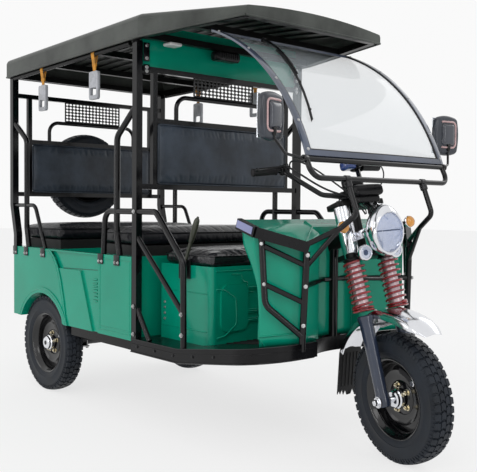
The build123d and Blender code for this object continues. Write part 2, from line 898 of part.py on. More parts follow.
band_width = 24.0
band_height = 44.0
guard_foot = (850.0, shield_half_width - 142)
guard_head = (864.0, shield_half_width - 150, 872.0)
rung_heights = (840.0, 690.0)
level_bar_z = 716.0
neck_x = 668.0


def beam(start, end, width, height):
    """Straight bar of rectangular section between two points, upright in section."""
    axis = Vector(*end) - Vector(*start)
    level = Vector(-axis.Y, axis.X, 0)
    base = Plane(origin=start, x_dir=level, z_dir=axis)
    return base * Pos(0, 0, axis.length / 2) * Box(width, height, axis.length)


def per_side(maker):
    """The same piece made for the right and for the left side."""
    return Compound(children=[*maker(-1).solids(), *maker(1).solids()])


def front_guard(shield):
    """Upright, outer loop and two rungs on each side, ahead of the leg shield."""
    def one(side):
        head_x, head_y, head_z = guard_head
        foot_x, foot_y = guard_foot
        foot = (foot_x, side * foot_y, floor_top(foot_x) - 30)
        post = cylinder_between(foot, (head_x, side * head_y, head_z - 18), rail_tube)
        path = [
            (742, shield_half_width - 18, 908),
            (760, shield_half_width - 24, 640),
            (852, shield_half_width - 140, 516),
        ]
        loop = bent_tube([(x, side * y, z) for x, y, z in path], rail_tube - 1, 60)
        piece = post + loop
        for z in rung_heights:
            outer = (754, side * (shield_half_width - 22), z + 34)
            inner = (856, side * (shield_half_width - 144), z - 40)
            piece += cylinder_between(outer, inner, rail_tube - 3)
        return piece - shield - floor_slab(0, 300)
    return per_side(one)


def guard_bands(shield, guard):
    """Moulded black band along the upper edge of the leg shield."""
    def one(side):
        head_x, head_y, head_z = guard_head
        bend = (736, side * (shield_half_width + 8), 929)
        rear = (634, side * (shield_half_width + 10), 962)
        band = beam(rear, bend, band_width, band_height)
        band += beam(bend, (head_x + 6, side * (head_y - 6), head_z - 3), band_width, band_height)
        return band - shield - guard
    return per_side(one)


def screen_stays(shield, guard, bands, frame):
    """Bent tubes from the guard's upper corners to the windscreen's loop, each with a brace."""
    def one(side):
        head_x, head_y, head_z = guard_head
        path = [
            (head_x + 3, head_y - 2, head_z + 12),
            (975, head_y - 72, 948),
            (1046, head_y - 87, 1005),
            (loop_x, head_y - 87, loop_z),
        ]
        stay = bent_tube([(x, side * y, z) for x, y, z in path], rail_tube - 3, [40, 30])
        brace_ends = [(866, side * (head_y - 4), 800), (968, side * (head_y - 68), 941)]
        brace = cylinder_between(*brace_ends, rail_tube - 4)
        return stay + brace - shield - bands - guard - frame
    return per_side(one)


def guard_bars(shield, guard, neck):
    """Level bars from the guard's uprights back to the steering neck."""
    def one(side):
        upright = (858, side * (guard_head[1] + 3), level_bar_z)
        column = (neck_x, side * 10, level_bar_z)
        return cylinder_between(upright, column, brace_tube) - shield - guard - neck
    return per_side(one)


def steering_neck():
    """Column on the front floor that rises to the head tube, tied to the guard's corners."""
    foot = (neck_x, 0, floor_top(neck_x) + 2)
    head_low, head_high = head_span
    upright = (Align.CENTER, Align.CENTER, Align.MIN)
    head = unsteered * Pos(0, 0, head_low) * Cylinder(head_radius, head_high - head_low, align=upright)
    bore = Cylinder(stem_radius + bearing_gap, head_high - head_low + 10, align=upright)
    bore = unsteered * Pos(0, 0, head_low - 5) * bore
    centre = unsteered.position + axis_up * (head_low + head_high) / 2
    column = bent_tube([foot, (neck_x, 0, 850), (centre.X, 0, centre.Z)], 28, 70)
    low = (neck_x - 50, -60, floor_top(neck_x - 50) + 1)
    plate = block(low, (neck_x + 32, 60, floor_top(neck_x + 32) + 8))
    return column + head + plate - bore - floor_slab(0, 300)


# Steered assembly, modelled straight in the steering frame and turned by its rest angle
leg_y = 88.0
leg_radius = 29.0
cover_radius = 31.0
spring_low = 362.0
spring_high = 578.0
head_radius = 27.0
stem_radius = 15.0
crown_low = 586.0
crown_high = 806.0
crown_thickness = 22.0
head_span = (crown_low + crown_thickness + 1.0, crown_high - 1.0)


def steer(piece):
    """Places a piece of the steering frame on the vehicle, at its parked angle."""
    return steered * piece


cup_radius = 46.0
slider_radius = 18.0
spring_radius = 46.5
spring_neck_radius = 36.0
spring_turns = 9


def fork():
    """Lower legs, slider tubes, two crowns and the stem."""
    height = crown_high - crown_low
    upright = (Align.CENTER, Align.CENTER, Align.MIN)
    piece = Pos(0, 0, crown_low) * Cylinder(stem_radius, height, align=upright)
    for z in (crown_low, crown_high):
        plate = block((-28, -leg_y - 34, z), (fork_offset + 34, leg_y + 34, z + crown_thickness))
        piece += fillet(plate.edges().filter_by(Axis.Z), 24)
    stretches = [
        (-24, spring_low - 12, leg_radius),
        (spring_low - 16, spring_low, cup_radius),
        (spring_low, crown_high + 30, slider_radius),
        (spring_high, crown_high, cover_radius),
    ]
    for y in (-leg_y, leg_y):
        for low, high, radius in stretches:
            piece += cylinder_between((fork_offset, y, low), (fork_offset, y, high), radius)
    reach = leg_y + leg_radius + 12
    return piece + across(fork_offset, 0, axle_radius, -reach, reach)


def fork_springs():
    """Outer coil springs, as ribbed sleeves round the sliders."""
    pitch = (spring_high - spring_low - 2 * seat_gap) / spring_turns
    upright = (Align.CENTER, Align.CENTER, Align.MIN)
    sleeves = []
    for y in (-leg_y, leg_y):
        rings = []
        for turn in range(spring_turns):
            at = Pos(fork_offset, y, spring_low + seat_gap + turn * pitch)
            rings.append(at * Cylinder(spring_radius, pitch * 0.56, align=upright))
            rings.append(at * Cylinder(spring_neck_radius, pitch, align=upright))
        spring = rings[0]
        for ring in rings[1:]:
            spring += ring
        ends = [(fork_offset, y, spring_low - 5), (fork_offset, y, spring_high + 5)]
        sleeves.append(spring - cylinder_between(*ends, slider_radius + seat_gap))
    return Compound(children=sleeves)


fender_radius = 362.0
fender_half_width = 70.0
fender_sheet = 3.0
front_angle = 62.0
rear_angle = 155.0


def polar(radius, angle):
    """Point round the front axle, in the steering frame, the angle counted up from level."""
    turn = radians(angle) - radians(rake)
    return fork_offset + radius * cos(turn), radius * sin(turn)


def fender_sector(radius, half_width, start, end):
    """Wedge of a cylinder about the front axle."""
    middle = (start + end) / 2
    ends = [polar(radius, angle) for angle in (start, middle, end)]
    arc = ThreePointArc(*[(x, 0, z) for x, z in ends])
    hub = (fork_offset, 0, 0)
    edges = [arc, Line(arc @ 1, hub), Line(hub, arc @ 0)]
    return extrude(make_face(edges), amount=half_width, dir=(0, 1, 0), both=True)


def front_fender():
    """Arched mudguard with turned-down sides and two stays to the fork legs."""
    outer = fender_sector(fender_radius, fender_half_width, front_angle, rear_angle)
    inner_radius = fender_radius - fender_sheet
    inner_half = fender_half_width - fender_sheet
    inner = fender_sector(inner_radius, inner_half, front_angle - 5, rear_angle + 5)
    hollow = across(fork_offset, 0, fender_radius - 30, -100, 100)
    shell = outer - inner - hollow
    leg_ends = [(fork_offset, leg_y, 200), (fork_offset, leg_y, spring_low + 40)]
    legs = cylinder_between(*leg_ends, spring_radius + 0.5 + seat_gap)
    shell -= legs + mirrored(legs)
    reach = leg_y - leg_radius
    bridge_low = (fork_offset - 20, -reach, spring_low - 60)
    bridge = block(bridge_low, (fork_offset + 20, reach, fender_radius - 1))
    bridge -= legs + mirrored(legs)
    return shell + bridge


flap_half_width = 60.0
flap_length = 225.0
flap_sheet = 5.0


def mud_flap():
    """Rubber flap below the fender's rear end."""
    x, z = polar(fender_radius - fender_sheet / 2, rear_angle)
    low = (-flap_sheet / 2, -flap_half_width, -flap_length)
    flap = Rot(0, rake, 0) * block(low, (flap_sheet / 2, flap_half_width, 0))
    return Pos(x - 1, 0, z - 1) * flap


bar_radius = 11.0
grip_radius = 17.0
grip_inner = (-168.0, 205.0, 1046.0)
grip_outer = (-186.0, 340.0, 1046.0)
grip_start = 25.0


def handlebar():
    """Rising swept-back bar on two risers."""
    low = crown_high + crown_thickness
    left = [grip_outer, grip_inner, (-40, 110, low + 60), (0, 50, low + 40)]
    right = [(x, -y, z) for x, y, z in reversed(left)]
    bar = bent_tube(left + right, bar_radius, [40, 50, 30, 30, 50, 40])
    for y in (-36, 36):
        bar += block((-16, y - 12, low), (16, y + 12, low + 54))
    return bar


def grips():
    """Rubber grips on the straight ends of the bar."""
    start, end = Vector(*grip_inner), Vector(*grip_outer)
    line = (end - start).normalized()
    grip = cylinder_between(start + line * grip_start, end + line * 4, grip_radius)
    grip -= cylinder_between(start, end + line * 2, bar_radius + 0.1)
    return Compound(children=[mirrored(grip), grip])


lamp_x = 120.0
lamp_z = 667.0
lamp_depth = 92.0
lamp_half_width = 76.0
lamp_half_height = 96.0
lens_inset = 14.0
lens_bulge = 16.0


def headlamp():
    """Oval lamp bowl with a rim, level with the ground, on two ears from the fork covers."""
    level = Pos(lamp_x, 0, lamp_z) * Rot(0, rake, 0)
    rear = Plane.YZ * Ellipse(40, 50)
    middle = Plane.YZ.offset(60) * Ellipse(lamp_half_width - 2, lamp_half_height - 4)
    front = Plane.YZ.offset(lamp_depth) * Ellipse(lamp_half_width, lamp_half_height)
    bowl = level * loft([rear, middle, front], ruled=True)
    for side in (-1, 1):
        y = side * 60
        ear = block((56, y - 4, lamp_z - 12), (165, y + 4, lamp_z + 23))
        cover_ends = [(fork_offset, side * leg_y, 600), (fork_offset, side * leg_y, 760)]
        bowl += ear - cylinder_between(*cover_ends, cover_radius)
    return bowl


def headlamp_lens():
    """Blue-tinted glass in front of the bowl."""
    level = Pos(lamp_x, 0, lamp_z) * Rot(0, rake, 0)
    half_width, half_height = lamp_half_width - lens_inset, lamp_half_height - lens_inset
    back = Plane.YZ.offset(lamp_depth + seat_gap) * Ellipse(half_width, half_height)
    front = Plane.YZ.offset(lamp_depth + lens_bulge) * Ellipse(half_width - 18, half_height - 20)
    return level * loft([back, front], ruled=True)


signal_radius = 26.0
spot_radius = 33.0
spot_y = 78.0


def front_lamps(fork_body):
    """Turn signals on stalks and two small round lamps, all on the fork."""
    pieces = []
    for side in (-1, 1):
        stalk = cylinder_between((fork_offset, side * leg_y, 690), (140, side * 160, 700), 6)
        signal = Pos(146, side * 168, 702) * Sphere(signal_radius)
        arm = cylinder_between((fork_offset + 30, side * spot_y, 597), (112, side * spot_y, 595), 8)
        lamp = cylinder_between((106, side * spot_y, 596), (132, side * spot_y, 590), spot_radius)
        pieces.append(stalk + signal - fork_body)
        pieces.append(arm + lamp - fork_body)
    return Compound(children=pieces)


def instrument_bracket():
    """Dark carrier over the headlamp for the instrument and the wiring."""
    low = crown_high + crown_thickness
    plate = block((52, -66, low), (150, 66, low + 55))
    return plate + block((-20, -18, low), (60, 18, low + 8))


def tyre_solid():
    """Tyre about the Y axis at the origin."""
    bead_top = rim_flange + seat_gap
    left_shoulder = (tyre_radius - tyre_shoulder, tyre_half_width - 4)
    right_shoulder = (tyre_radius - tyre_shoulder, -tyre_half_width + 4)
    section = [
        Line((bead_radius, -rim_half_width + 4), (bead_radius, rim_half_width - 4)),
        Line((bead_radius, rim_half_width - 4), (bead_top, rim_half_width - 4)),
        Line((bead_top, rim_half_width - 4), (bead_radius + 30, tyre_half_width)),
        Line((bead_radius + 30, tyre_half_width), left_shoulder),
        ThreePointArc(left_shoulder, (tyre_radius, 0), right_shoulder),
        Line(right_shoulder, (bead_radius + 30, -tyre_half_width)),
        Line((bead_radius + 30, -tyre_half_width), (bead_top, -rim_half_width + 4)),
        Line((bead_top, -rim_half_width + 4), (bead_radius, -rim_half_width + 4)),
    ]
    return revolve(make_face(section), axis=Axis.Y)


def wheel_solid(side):
    """Pressed steel wheel with its hub and brake drum, the disc's hollow facing the given side."""
    seat_radius = bead_radius - rim_sheet
    well = seat_radius - 16
    bead = bead_radius - seat_gap
    bead_y = rim_half_width - 4 + seat_gap
    half = [(rim_flange, rim_half_width), (seat_radius, rim_half_width), (well, 12)]
    back = [(bead, bead_y), (rim_flange, bead_y)]
    outline = half + [(x, -y) for x, y in reversed(half)]
    outline += [(x, -y) for x, y in reversed(back)] + back
    rim = revolve(make_face(Polyline(*[(x, y, 0) for x, y in outline], close=True)), axis=Axis.Y)
    disc = across(0, 0, bead_radius - 15, -12, -6) - across(0, 0, drum_radius - 10, -13, -5)
    hub = across(0, 0, drum_radius, -hub_back, 0) + across(0, 0, hub_radius, -hub_back, hub_half_length)
    bore = across(0, 0, axle_radius + bearing_gap, -90, 90)
    wheel = rim + disc + hub - bore
    return wheel if side == 1 else mirrored(wheel)


def wheel_at(piece, x, y, z):
    """Puts a wheel piece on a level axle."""
    return Pos(x, y, z) * piece


def front_wheel_place(piece):
    """Puts a wheel piece on the fork's axle."""
    return steer(Pos(fork_offset, 0, 0) * piece)


def spare_place(piece):
    """Puts a wheel piece on the spare carrier's stud."""
    return Pos(spare_x, 0, spare_z) * Rot(0, 0, 90) * piece


mirror_size = (34.0, 150.0, 185.0)


def mirrors(frame):
    """Door mirrors on bent stalks from the windscreen's lower corners."""
    foot = (screen_foot[0], -screen_half_width - 15, screen_foot[1] - 13)
    head_y = -screen_half_width - 122
    stalk = bent_tube([foot, (930, head_y + 36, 1230), (905, head_y, 1290)], 5, 20)
    head = Pos(888, head_y, 1367) * Rot(0, 0, 12) * Box(*mirror_size)
    return both_sides(stalk + head - frame)


wiper_radius = 4.0
wiper_lift = 13.0
wiper_pivot = (0.10, -205.0)
wiper_tip = (0.81, -345.0)
wiper_runs = 3


def screen_point(share, y, lift):
    """Point at a height over the windscreen, along the screen's outward normal there."""
    tangent = screen_line() % share
    outward = Vector(-tangent.Z, 0, tangent.X)
    return screen_line() @ share + outward * lift + Vector(0, y, 0)


def wiper():
    """Pivot through the screen's upper edge and one arm that follows the glass."""
    line = []
    for step in range(wiper_runs + 1):
        part = step / wiper_runs
        share, y = (near + (far - near) * part for near, far in zip(wiper_pivot, wiper_tip))
        line.append(tuple(screen_point(share, y, wiper_lift)))
    base = tuple(screen_point(*wiper_pivot, seat_gap))
    arm = cylinder_between(base, tuple(screen_point(*wiper_pivot, wiper_lift + 8)), 14)
    for start, end in zip(line, line[1:]):
        arm += cylinder_between(start, end, wiper_radius) + Pos(*end) * Sphere(wiper_radius)
    return arm


def interior_unit(frame):
    """Radio housing hung from the roof frame over the driver, with a lamp beside it."""
    x = roof_kink_x + 6
    top = roof_low(x)
    unit = block((x - 35, -118, top - 46), (x + 35, 32, top))
    lamp = block((x - 30, -400, top - 16), (x + 30, -335, top))
    return Compound(children=[unit - frame, lamp - frame])


handle_drop = 85.0
handle_grip = 138.0
handle_half_width = 41.0
handle_stations = (rear_post_x + 384, middle_post_x - 360)


def hanging_handle(x, y):
    """Flat strap and a moulded grip with an open window."""
    top = roof_low(x) - 10
    grip_top = top - handle_drop
    strap = block((x - 14, y - 2, grip_top), (x + 14, y + 2, top))
    grip_foot = grip_top - handle_grip
    grip = block((x - handle_half_width, y - 9, grip_foot), (x + handle_half_width, y + 9, grip_top))
    open_half = handle_half_width - 12
    window = block((x - open_half, y - 10, grip_foot + 18), (x + open_half, y + 10, grip_foot + 58))
    return strap + grip - window


def hanging_handles(frame):
    """Straps with moulded grips that hang from the roof frame's rails."""
    pieces = []
    for y in (-handle_rail_y, handle_rail_y):
        for x in handle_stations:
            pieces.append(hanging_handle(x, y) - frame)
    return Compound(children=pieces)


def handbrake_lever():
    """Ratchet lever on the right of the driver's seat."""
    side = -driver_box_half_width
    top = (262, side - 14, driver_box_top_z + 200)
    lever = cylinder_between((180, side - 18, driver_box_top_z + 8), top, 9) + Pos(*top) * Sphere(15)
    bracket_low = (150, side - 30, driver_box_top_z - 62)
    return lever + block(bracket_low, (205, side - seat_gap, driver_box_top_z + 23))


def levers(bar):
    """Switch blocks, brake levers and the drum brake's lever, beside the grips."""
    inner, outer = Vector(*grip_inner), Vector(*grip_outer)
    along = (outer - inner).normalized()
    housing = cylinder_between(inner - along * 32, inner + along * 6, 24)
    knee = inner - along * 10 + Vector(52, 0, 2)
    lever = cylinder_between(inner - along * 14 + Vector(18, 0, 0), knee, 6)
    bend = inner - along * 12 + Vector(50, 0, 2)
    lever += cylinder_between(bend, outer - along * 6 + Vector(40, 0, 0), 6)
    piece = housing + lever
    return Compound(children=[mirrored(piece) - bar, piece - bar])


hose_points = [
    (-146, -196, 1034), (-80, -226, 1000), (-12, -208, 930), (8, -150, 872), (38, -105, 856), (60, -68, 856),
]
brake_points = [
    (-118, -222, 1046), (-60, -250, 1010), (20, -236, 920), (44, -160, 850), (66, -68.5, 838),
]


def control_cables(neighbours):
    """Ribbed wiring hose and brake cable from the right grip to the carrier over the lamp."""
    hose = bent_tube(hose_points, 8, [45, 45, 40, 30])
    cable = bent_tube(brake_points, 3.2, [45, 60, 45])
    for neighbour in neighbours:
        hose -= neighbour
        cable -= neighbour
    return Compound(children=[hose, cable])


def export_all():
    """Builds every node and writes its file."""
    nodes = {}
    nodes["chassis_frame"] = chassis_frame()
    nodes["leaf_springs"] = leaf_springs()
    nodes["rear_axle"] = rear_axle()
    nodes["battery_pack"] = battery_pack()
    nodes["front_floor"] = front_floor()
    nodes["passenger_floor"] = passenger_floor()
    nodes["rear_body"] = rear_body()
    nodes["side_panels"] = side_panels()
    nodes["middle_seat_base"] = middle_seat_base()
    nodes["driver_seat_box"] = driver_seat_box()
    nodes["seat_boards"] = seat_boards()
    nodes["rear_seat_cushion"] = rear_seat_cushion()
    nodes["middle_seat_cushion"] = middle_seat_cushion()
    nodes["driver_seat_cushion"] = driver_seat_cushion()
    nodes["rear_post_frame"] = rear_post_frame()
    nodes["middle_post_frame"] = middle_post_frame()
    nodes["rear_backrest"] = backrest(rear_post_x, rear_backrest_z)
    nodes["middle_backrest"] = backrest(middle_post_x, middle_backrest_z)
    nodes["spare_carrier"] = spare_carrier()
    nodes["racks"] = racks()
    nodes["mesh_panels"] = mesh_panels()
    nodes["rear_side_rails"] = rear_side_rails(nodes["rear_post_frame"])
    nodes["middle_side_rails"] = middle_side_rails(nodes["middle_post_frame"])
    nodes["guard_braces"] = guard_braces(nodes["middle_post_frame"], nodes["middle_side_rails"])
    nodes["roof_shell"] = roof_shell()
    nodes["roof_frame"] = roof_frame()
    nodes["header_panel"] = header_panel()
    nodes["windscreen"] = windscreen()
    nodes["windscreen_frame"] = windscreen_frame()
    nodes["leg_shield"] = leg_shield()
    nodes["steering_neck"] = steering_neck()
    shield = leg_shield_body(0)
    guard = front_guard(shield)
    bands = guard_bands(shield, guard)
    bars = guard_bars(shield, guard, nodes["steering_neck"])
    nodes["front_guard"] = Compound(children=[*guard.solids(), *bars.solids()])
    nodes["guard_bands"] = bands
    nodes["screen_stays"] = screen_stays(shield, guard, bands, nodes["windscreen_frame"])
    nodes["wiper"] = wiper()
    nodes["interior_unit"] = interior_unit(nodes["roof_frame"])
    nodes["hanging_handles"] = hanging_handles(nodes["roof_frame"])
    nodes["handbrake_lever"] = handbrake_lever()
    nodes["mirrors"] = mirrors(nodes["windscreen_frame"])
    fork_body = fork()
    nodes["fork"] = steer(fork_body)
    nodes["fork_springs"] = steer(fork_springs())
    nodes["front_fender"] = steer(front_fender())
    nodes["mud_flap"] = steer(mud_flap())
    nodes["handlebar"] = steer(handlebar())
    nodes["grips"] = steer(grips())
    bar, carrier = handlebar(), instrument_bracket()
    lever_set = levers(bar)
    nodes["levers"] = steer(lever_set)
    nodes["control_cables"] = steer(control_cables([bar, carrier, lever_set]))
    nodes["headlamp"] = steer(headlamp())
    nodes["headlamp_lens"] = steer(headlamp_lens())
    nodes["front_lamps"] = steer(front_lamps(fork_body))
    nodes["instrument_bracket"] = steer(instrument_bracket())
    tyre = tyre_solid()
    for name, side in (("right", -1), ("left", 1)):
        y = side * rear_half_track
        nodes["rear_%s_tyre" % name] = wheel_at(tyre, rear_axle_x, y, tyre_radius)
        nodes["rear_%s_wheel" % name] = wheel_at(wheel_solid(side), rear_axle_x, y, tyre_radius)
    nodes["front_tyre"] = front_wheel_place(tyre)
    nodes["front_wheel"] = front_wheel_place(wheel_solid(-1))
    nodes["spare_tyre"] = spare_place(tyre)
    nodes["spare_wheel"] = spare_place(wheel_solid(1))
    rearmost = nodes["spare_tyre"].bounding_box().min.X
    foremost = nodes["front_tyre"].bounding_box().max.X
    centring = Pos(-round((rearmost + foremost) / 2), 0, 0)
    for name, shape in nodes.items():
        export_step(centring * shape, "parts/%s.step" % name)


export_all()
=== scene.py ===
import json
import math
import random

import bmesh
import bpy
from mathutils import Matrix, Vector


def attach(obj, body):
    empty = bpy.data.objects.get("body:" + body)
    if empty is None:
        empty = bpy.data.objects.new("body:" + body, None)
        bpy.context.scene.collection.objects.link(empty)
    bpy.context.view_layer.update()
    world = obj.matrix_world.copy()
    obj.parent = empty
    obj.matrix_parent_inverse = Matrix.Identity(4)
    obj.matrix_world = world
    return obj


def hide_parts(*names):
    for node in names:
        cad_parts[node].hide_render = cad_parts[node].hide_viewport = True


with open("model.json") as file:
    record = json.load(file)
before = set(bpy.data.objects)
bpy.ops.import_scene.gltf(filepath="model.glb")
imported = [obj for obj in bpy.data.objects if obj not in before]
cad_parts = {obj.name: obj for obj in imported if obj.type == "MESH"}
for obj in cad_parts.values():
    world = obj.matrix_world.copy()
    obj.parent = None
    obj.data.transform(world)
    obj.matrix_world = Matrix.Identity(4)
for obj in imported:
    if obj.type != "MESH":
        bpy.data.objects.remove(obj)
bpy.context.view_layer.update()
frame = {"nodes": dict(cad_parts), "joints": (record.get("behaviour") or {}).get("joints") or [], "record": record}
nodes = frame["nodes"]
joints = {joint["name"]: joint for joint in frame["joints"]}
random.seed(7)

# The construction's own millimetres, turned into the frame's metres
layout = {"rearAxle": -960.0, "restTurn": -13.0, "forkOffset": 45.0, "wheelRadius": 265.0, "halfTrack": 475.0}
shift = joints["rear_right_wheel_spin"]["pos_m"][0] - layout["rearAxle"] / 1000
fixed = Matrix.Translation((shift, 0, 0)) @ Matrix.Scale(0.001, 4)
steerUp = Vector(joints["steering_turn"]["axis"]).normalized()
steerAhead = Vector((0, 1, 0)).cross(steerUp)
steerAxes = Matrix((steerAhead, Vector((0, 1, 0)), steerUp)).transposed().to_4x4()
steered = Matrix.Translation(joints["steering_turn"]["pos_m"]) @ steerAxes
steered = steered @ Matrix.Rotation(math.radians(layout["restTurn"]), 4, "Z") @ Matrix.Scale(0.001, 4)


# Wheel frames: local Y is the axle, in millimetres
frontHub = steered @ Matrix.Translation((layout["forkOffset"], 0, 0))


def rearHub(side):
    return fixed @ Matrix.Translation((layout["rearAxle"], side * layout["halfTrack"], layout["wheelRadius"]))


# Camera at the photograph's viewpoint
view = {"place": (3062.7, -2600.8, 1029.0), "azimuth": 49.0, "height": 2.1, "roll": 0.5, "focal": 795.7, "width": 477.0}


def makeCamera():
    turn, rise, roll = (math.radians(view[key]) for key in ("azimuth", "height", "roll"))
    back = Vector((math.sin(turn) * math.cos(rise), -math.cos(turn) * math.cos(rise), math.sin(rise)))
    right = Vector((math.cos(turn), math.sin(turn), 0))
    up = back.cross(right)
    rolledRight = right * math.cos(roll) + up * math.sin(roll)
    rolledUp = up * math.cos(roll) - right * math.sin(roll)
    data = bpy.data.cameras.new("camera")
    data.sensor_width = 36.0
    data.lens = view["focal"] / view["width"] * data.sensor_width
    data.clip_end = 100
    camera = bpy.data.objects.new("camera", data)
    bpy.context.scene.collection.objects.link(camera)
    axes = Matrix((rolledRight, rolledUp, back)).transposed().to_4x4()
    camera.matrix_world = Matrix.Translation(fixed @ Vector(view["place"])) @ axes
    bpy.context.scene.camera = camera


studio = {"world": 0.62, "key": 62.0, "fill": 22.0, "rim": 36.0, "strip": 24.0, "paper": 0.955,
          "floor": (0.95, 0.95, 0.95), "veil": 0.72}


def areaLamp(name, place, target, size, power):
    data = bpy.data.lights.new(name, "AREA")
    data.shape = "RECTANGLE"
    data.size, data.size_y = size
    data.energy = power
    lamp = bpy.data.objects.new(name, data)
    bpy.context.scene.collection.objects.link(lamp)
    lamp.location = place
    lamp.rotation_euler = (Vector(place) - Vector(target)).to_track_quat("Z", "Y").to_euler()


def paperRays(tree, paths):
    # Rays that see the plain white paper: from the camera, off metal and through glass
    first, second = tree.nodes.new("ShaderNodeMath"), tree.nodes.new("ShaderNodeMath")
    first.operation = second.operation = "MAXIMUM"
    tree.links.new(paths.outputs["Is Camera Ray"], first.inputs[0])
    tree.links.new(paths.outputs["Is Transmission Ray"], first.inputs[1])
    tree.links.new(first.outputs[0], second.inputs[0])
    tree.links.new(paths.outputs["Is Glossy Ray"], second.inputs[1])
    return second.outputs[0]


def makeStudio():
    scene = bpy.context.scene
    scene.view_settings.view_transform = "Standard"
    world = bpy.data.worlds.new("studio")
    scene.world = world
    world.use_nodes = True
    tree = world.node_tree
    background = tree.nodes["Background"]
    background.inputs["Color"].default_value = (1, 1, 1, 1)
    paths = tree.nodes.new("ShaderNodeLightPath")
    seen = paperRays(tree, paths)
    strength = tree.nodes.new("ShaderNodeMapRange")
    strength.inputs["To Min"].default_value = studio["world"]
    strength.inputs["To Max"].default_value = studio["paper"]
    tree.links.new(seen, strength.inputs["Value"])
    tree.links.new(strength.outputs[0], background.inputs["Strength"])
    areaLamp("keyLamp", (4.2, -4.4, 4.6), (0, 0, 0.8), (3.0, 3.0), studio["key"])
    areaLamp("fillLamp", (-3.5, -5.0, 2.6), (0, 0, 0.8), (2.5, 3.0), studio["fill"])
    areaLamp("rimLamp", (1.0, 5.0, 4.2), (0, 0, 1.0), (4.0, 2.0), studio["rim"])
    areaLamp("nearStrip", (0.2, -5.2, 2.0), (0, 0, 1.0), (0.22, 3.4), studio["strip"])
    areaLamp("frontStrip", (5.4, -0.6, 2.0), (0, 0, 1.0), (0.22, 3.4), studio["strip"])
    bpy.ops.mesh.primitive_plane_add(size=60, location=(0, 0, 0))
    floor = bpy.context.object
    floor.name = "studioFloor"
    material = bpy.data.materials.new("floorPaper")
    material.use_nodes = True
    tree = material.node_tree
    paper = tree.nodes["Principled BSDF"]
    paper.inputs["Base Color"].default_value = (*studio["floor"], 1)
    paper.inputs["Roughness"].default_value = 0.9
    paper.inputs["Specular IOR Level"].default_value = 0.1
    glow = tree.nodes.new("ShaderNodeEmission")
    paths = tree.nodes.new("ShaderNodeLightPath")
    share = tree.nodes.new("ShaderNodeMath")
    share.operation = "MULTIPLY"
    share.inputs[1].default_value = studio["veil"]
    tree.links.new(paperRays(tree, paths), share.inputs[0])
    mix = tree.nodes.new("ShaderNodeMixShader")
    tree.links.new(share.outputs[0], mix.inputs["Fac"])
    tree.links.new(paper.outputs[0], mix.inputs[1])
    tree.links.new(glow.outputs[0], mix.inputs[2])
    tree.links.new(mix.outputs[0], tree.nodes["Material Output"].inputs["Surface"])
    floor.data.materials.append(material)


makeCamera()
makeStudio()
print("camera and studio ready")


# Finishes

def nodeMaterial(name):
    material = bpy.data.materials.new(name)
    material.use_nodes = True
    tree = material.node_tree
    return material, tree, tree.nodes["Principled BSDF"]


def texture(tree, kind, scale, coords=None, **sockets):
    node = tree.nodes.new(kind)
    node.inputs["Scale"].default_value = scale
    for key, value in sockets.items():
        node.inputs[key].default_value = value
    if coords:
        tree.links.new(coords, node.inputs["Vector"])
    return node


def blendColours(tree, driver, low, high):
    ramp = tree.nodes.new("ShaderNodeValToRGB")
    ramp.color_ramp.elements[0].position = 0.35
    ramp.color_ramp.elements[1].position = 0.65
    ramp.color_ramp.elements[0].color = (*low, 1)
    ramp.color_ramp.elements[1].color = (*high, 1)
    tree.links.new(driver, ramp.inputs["Fac"])
    return ramp


def spread(tree, driver, low, high):
    node = tree.nodes.new("ShaderNodeMapRange")
    node.inputs["From Min"].default_value = 0.3
    node.inputs["From Max"].default_value = 0.7
    node.inputs["To Min"].default_value = low
    node.inputs["To Max"].default_value = high
    tree.links.new(driver, node.inputs["Value"])
    return node.outputs[0]


def bumpFrom(tree, driver, strength, distance, normal=None):
    node = tree.nodes.new("ShaderNodeBump")
    node.inputs["Strength"].default_value = strength
    node.inputs["Distance"].default_value = distance
    tree.links.new(driver, node.inputs["Height"])
    if normal:
        tree.links.new(normal, node.inputs["Normal"])
    return node.outputs["Normal"]


def finish(name, colour, rough, metal=0.0, coat=0.0, patch=3.0, change=0.12, grain=0.0, grainSize=400.0,
           specular=0.5, wrinkle=0.0, wrinkleSize=14.0):
    material, tree, shader = nodeMaterial(name)
    coords = tree.nodes.new("ShaderNodeTexCoord").outputs["Object"]
    cloud = texture(tree, "ShaderNodeTexNoise", patch, coords, Detail=5.0, Roughness=0.6)
    low = tuple(channel * (1 - change) for channel in colour)
    high = tuple(min(1.0, channel * (1 + change)) for channel in colour)
    tint = blendColours(tree, cloud.outputs["Fac"], low, high).outputs["Color"]
    tree.links.new(tint, shader.inputs["Base Color"])
    tree.links.new(spread(tree, cloud.outputs["Fac"], rough * 0.85, min(1.0, rough * 1.2)), shader.inputs["Roughness"])
    shader.inputs["Metallic"].default_value = metal
    shader.inputs["Coat Weight"].default_value = coat
    shader.inputs["Coat Roughness"].default_value = 0.06
    shader.inputs["Specular IOR Level"].default_value = specular
    normal = None
    if wrinkle:
        folds = texture(tree, "ShaderNodeTexNoise", wrinkleSize, coords, Detail=3.0, Distortion=0.6)
        normal = bumpFrom(tree, folds.outputs["Fac"], wrinkle, 0.006)
    if grain:
        fine = texture(tree, "ShaderNodeTexVoronoi", grainSize, coords)
        normal = bumpFrom(tree, fine.outputs["Distance"], grain, 0.0006, normal)
    if normal:
        tree.links.new(normal, shader.inputs["Normal"])
    return material


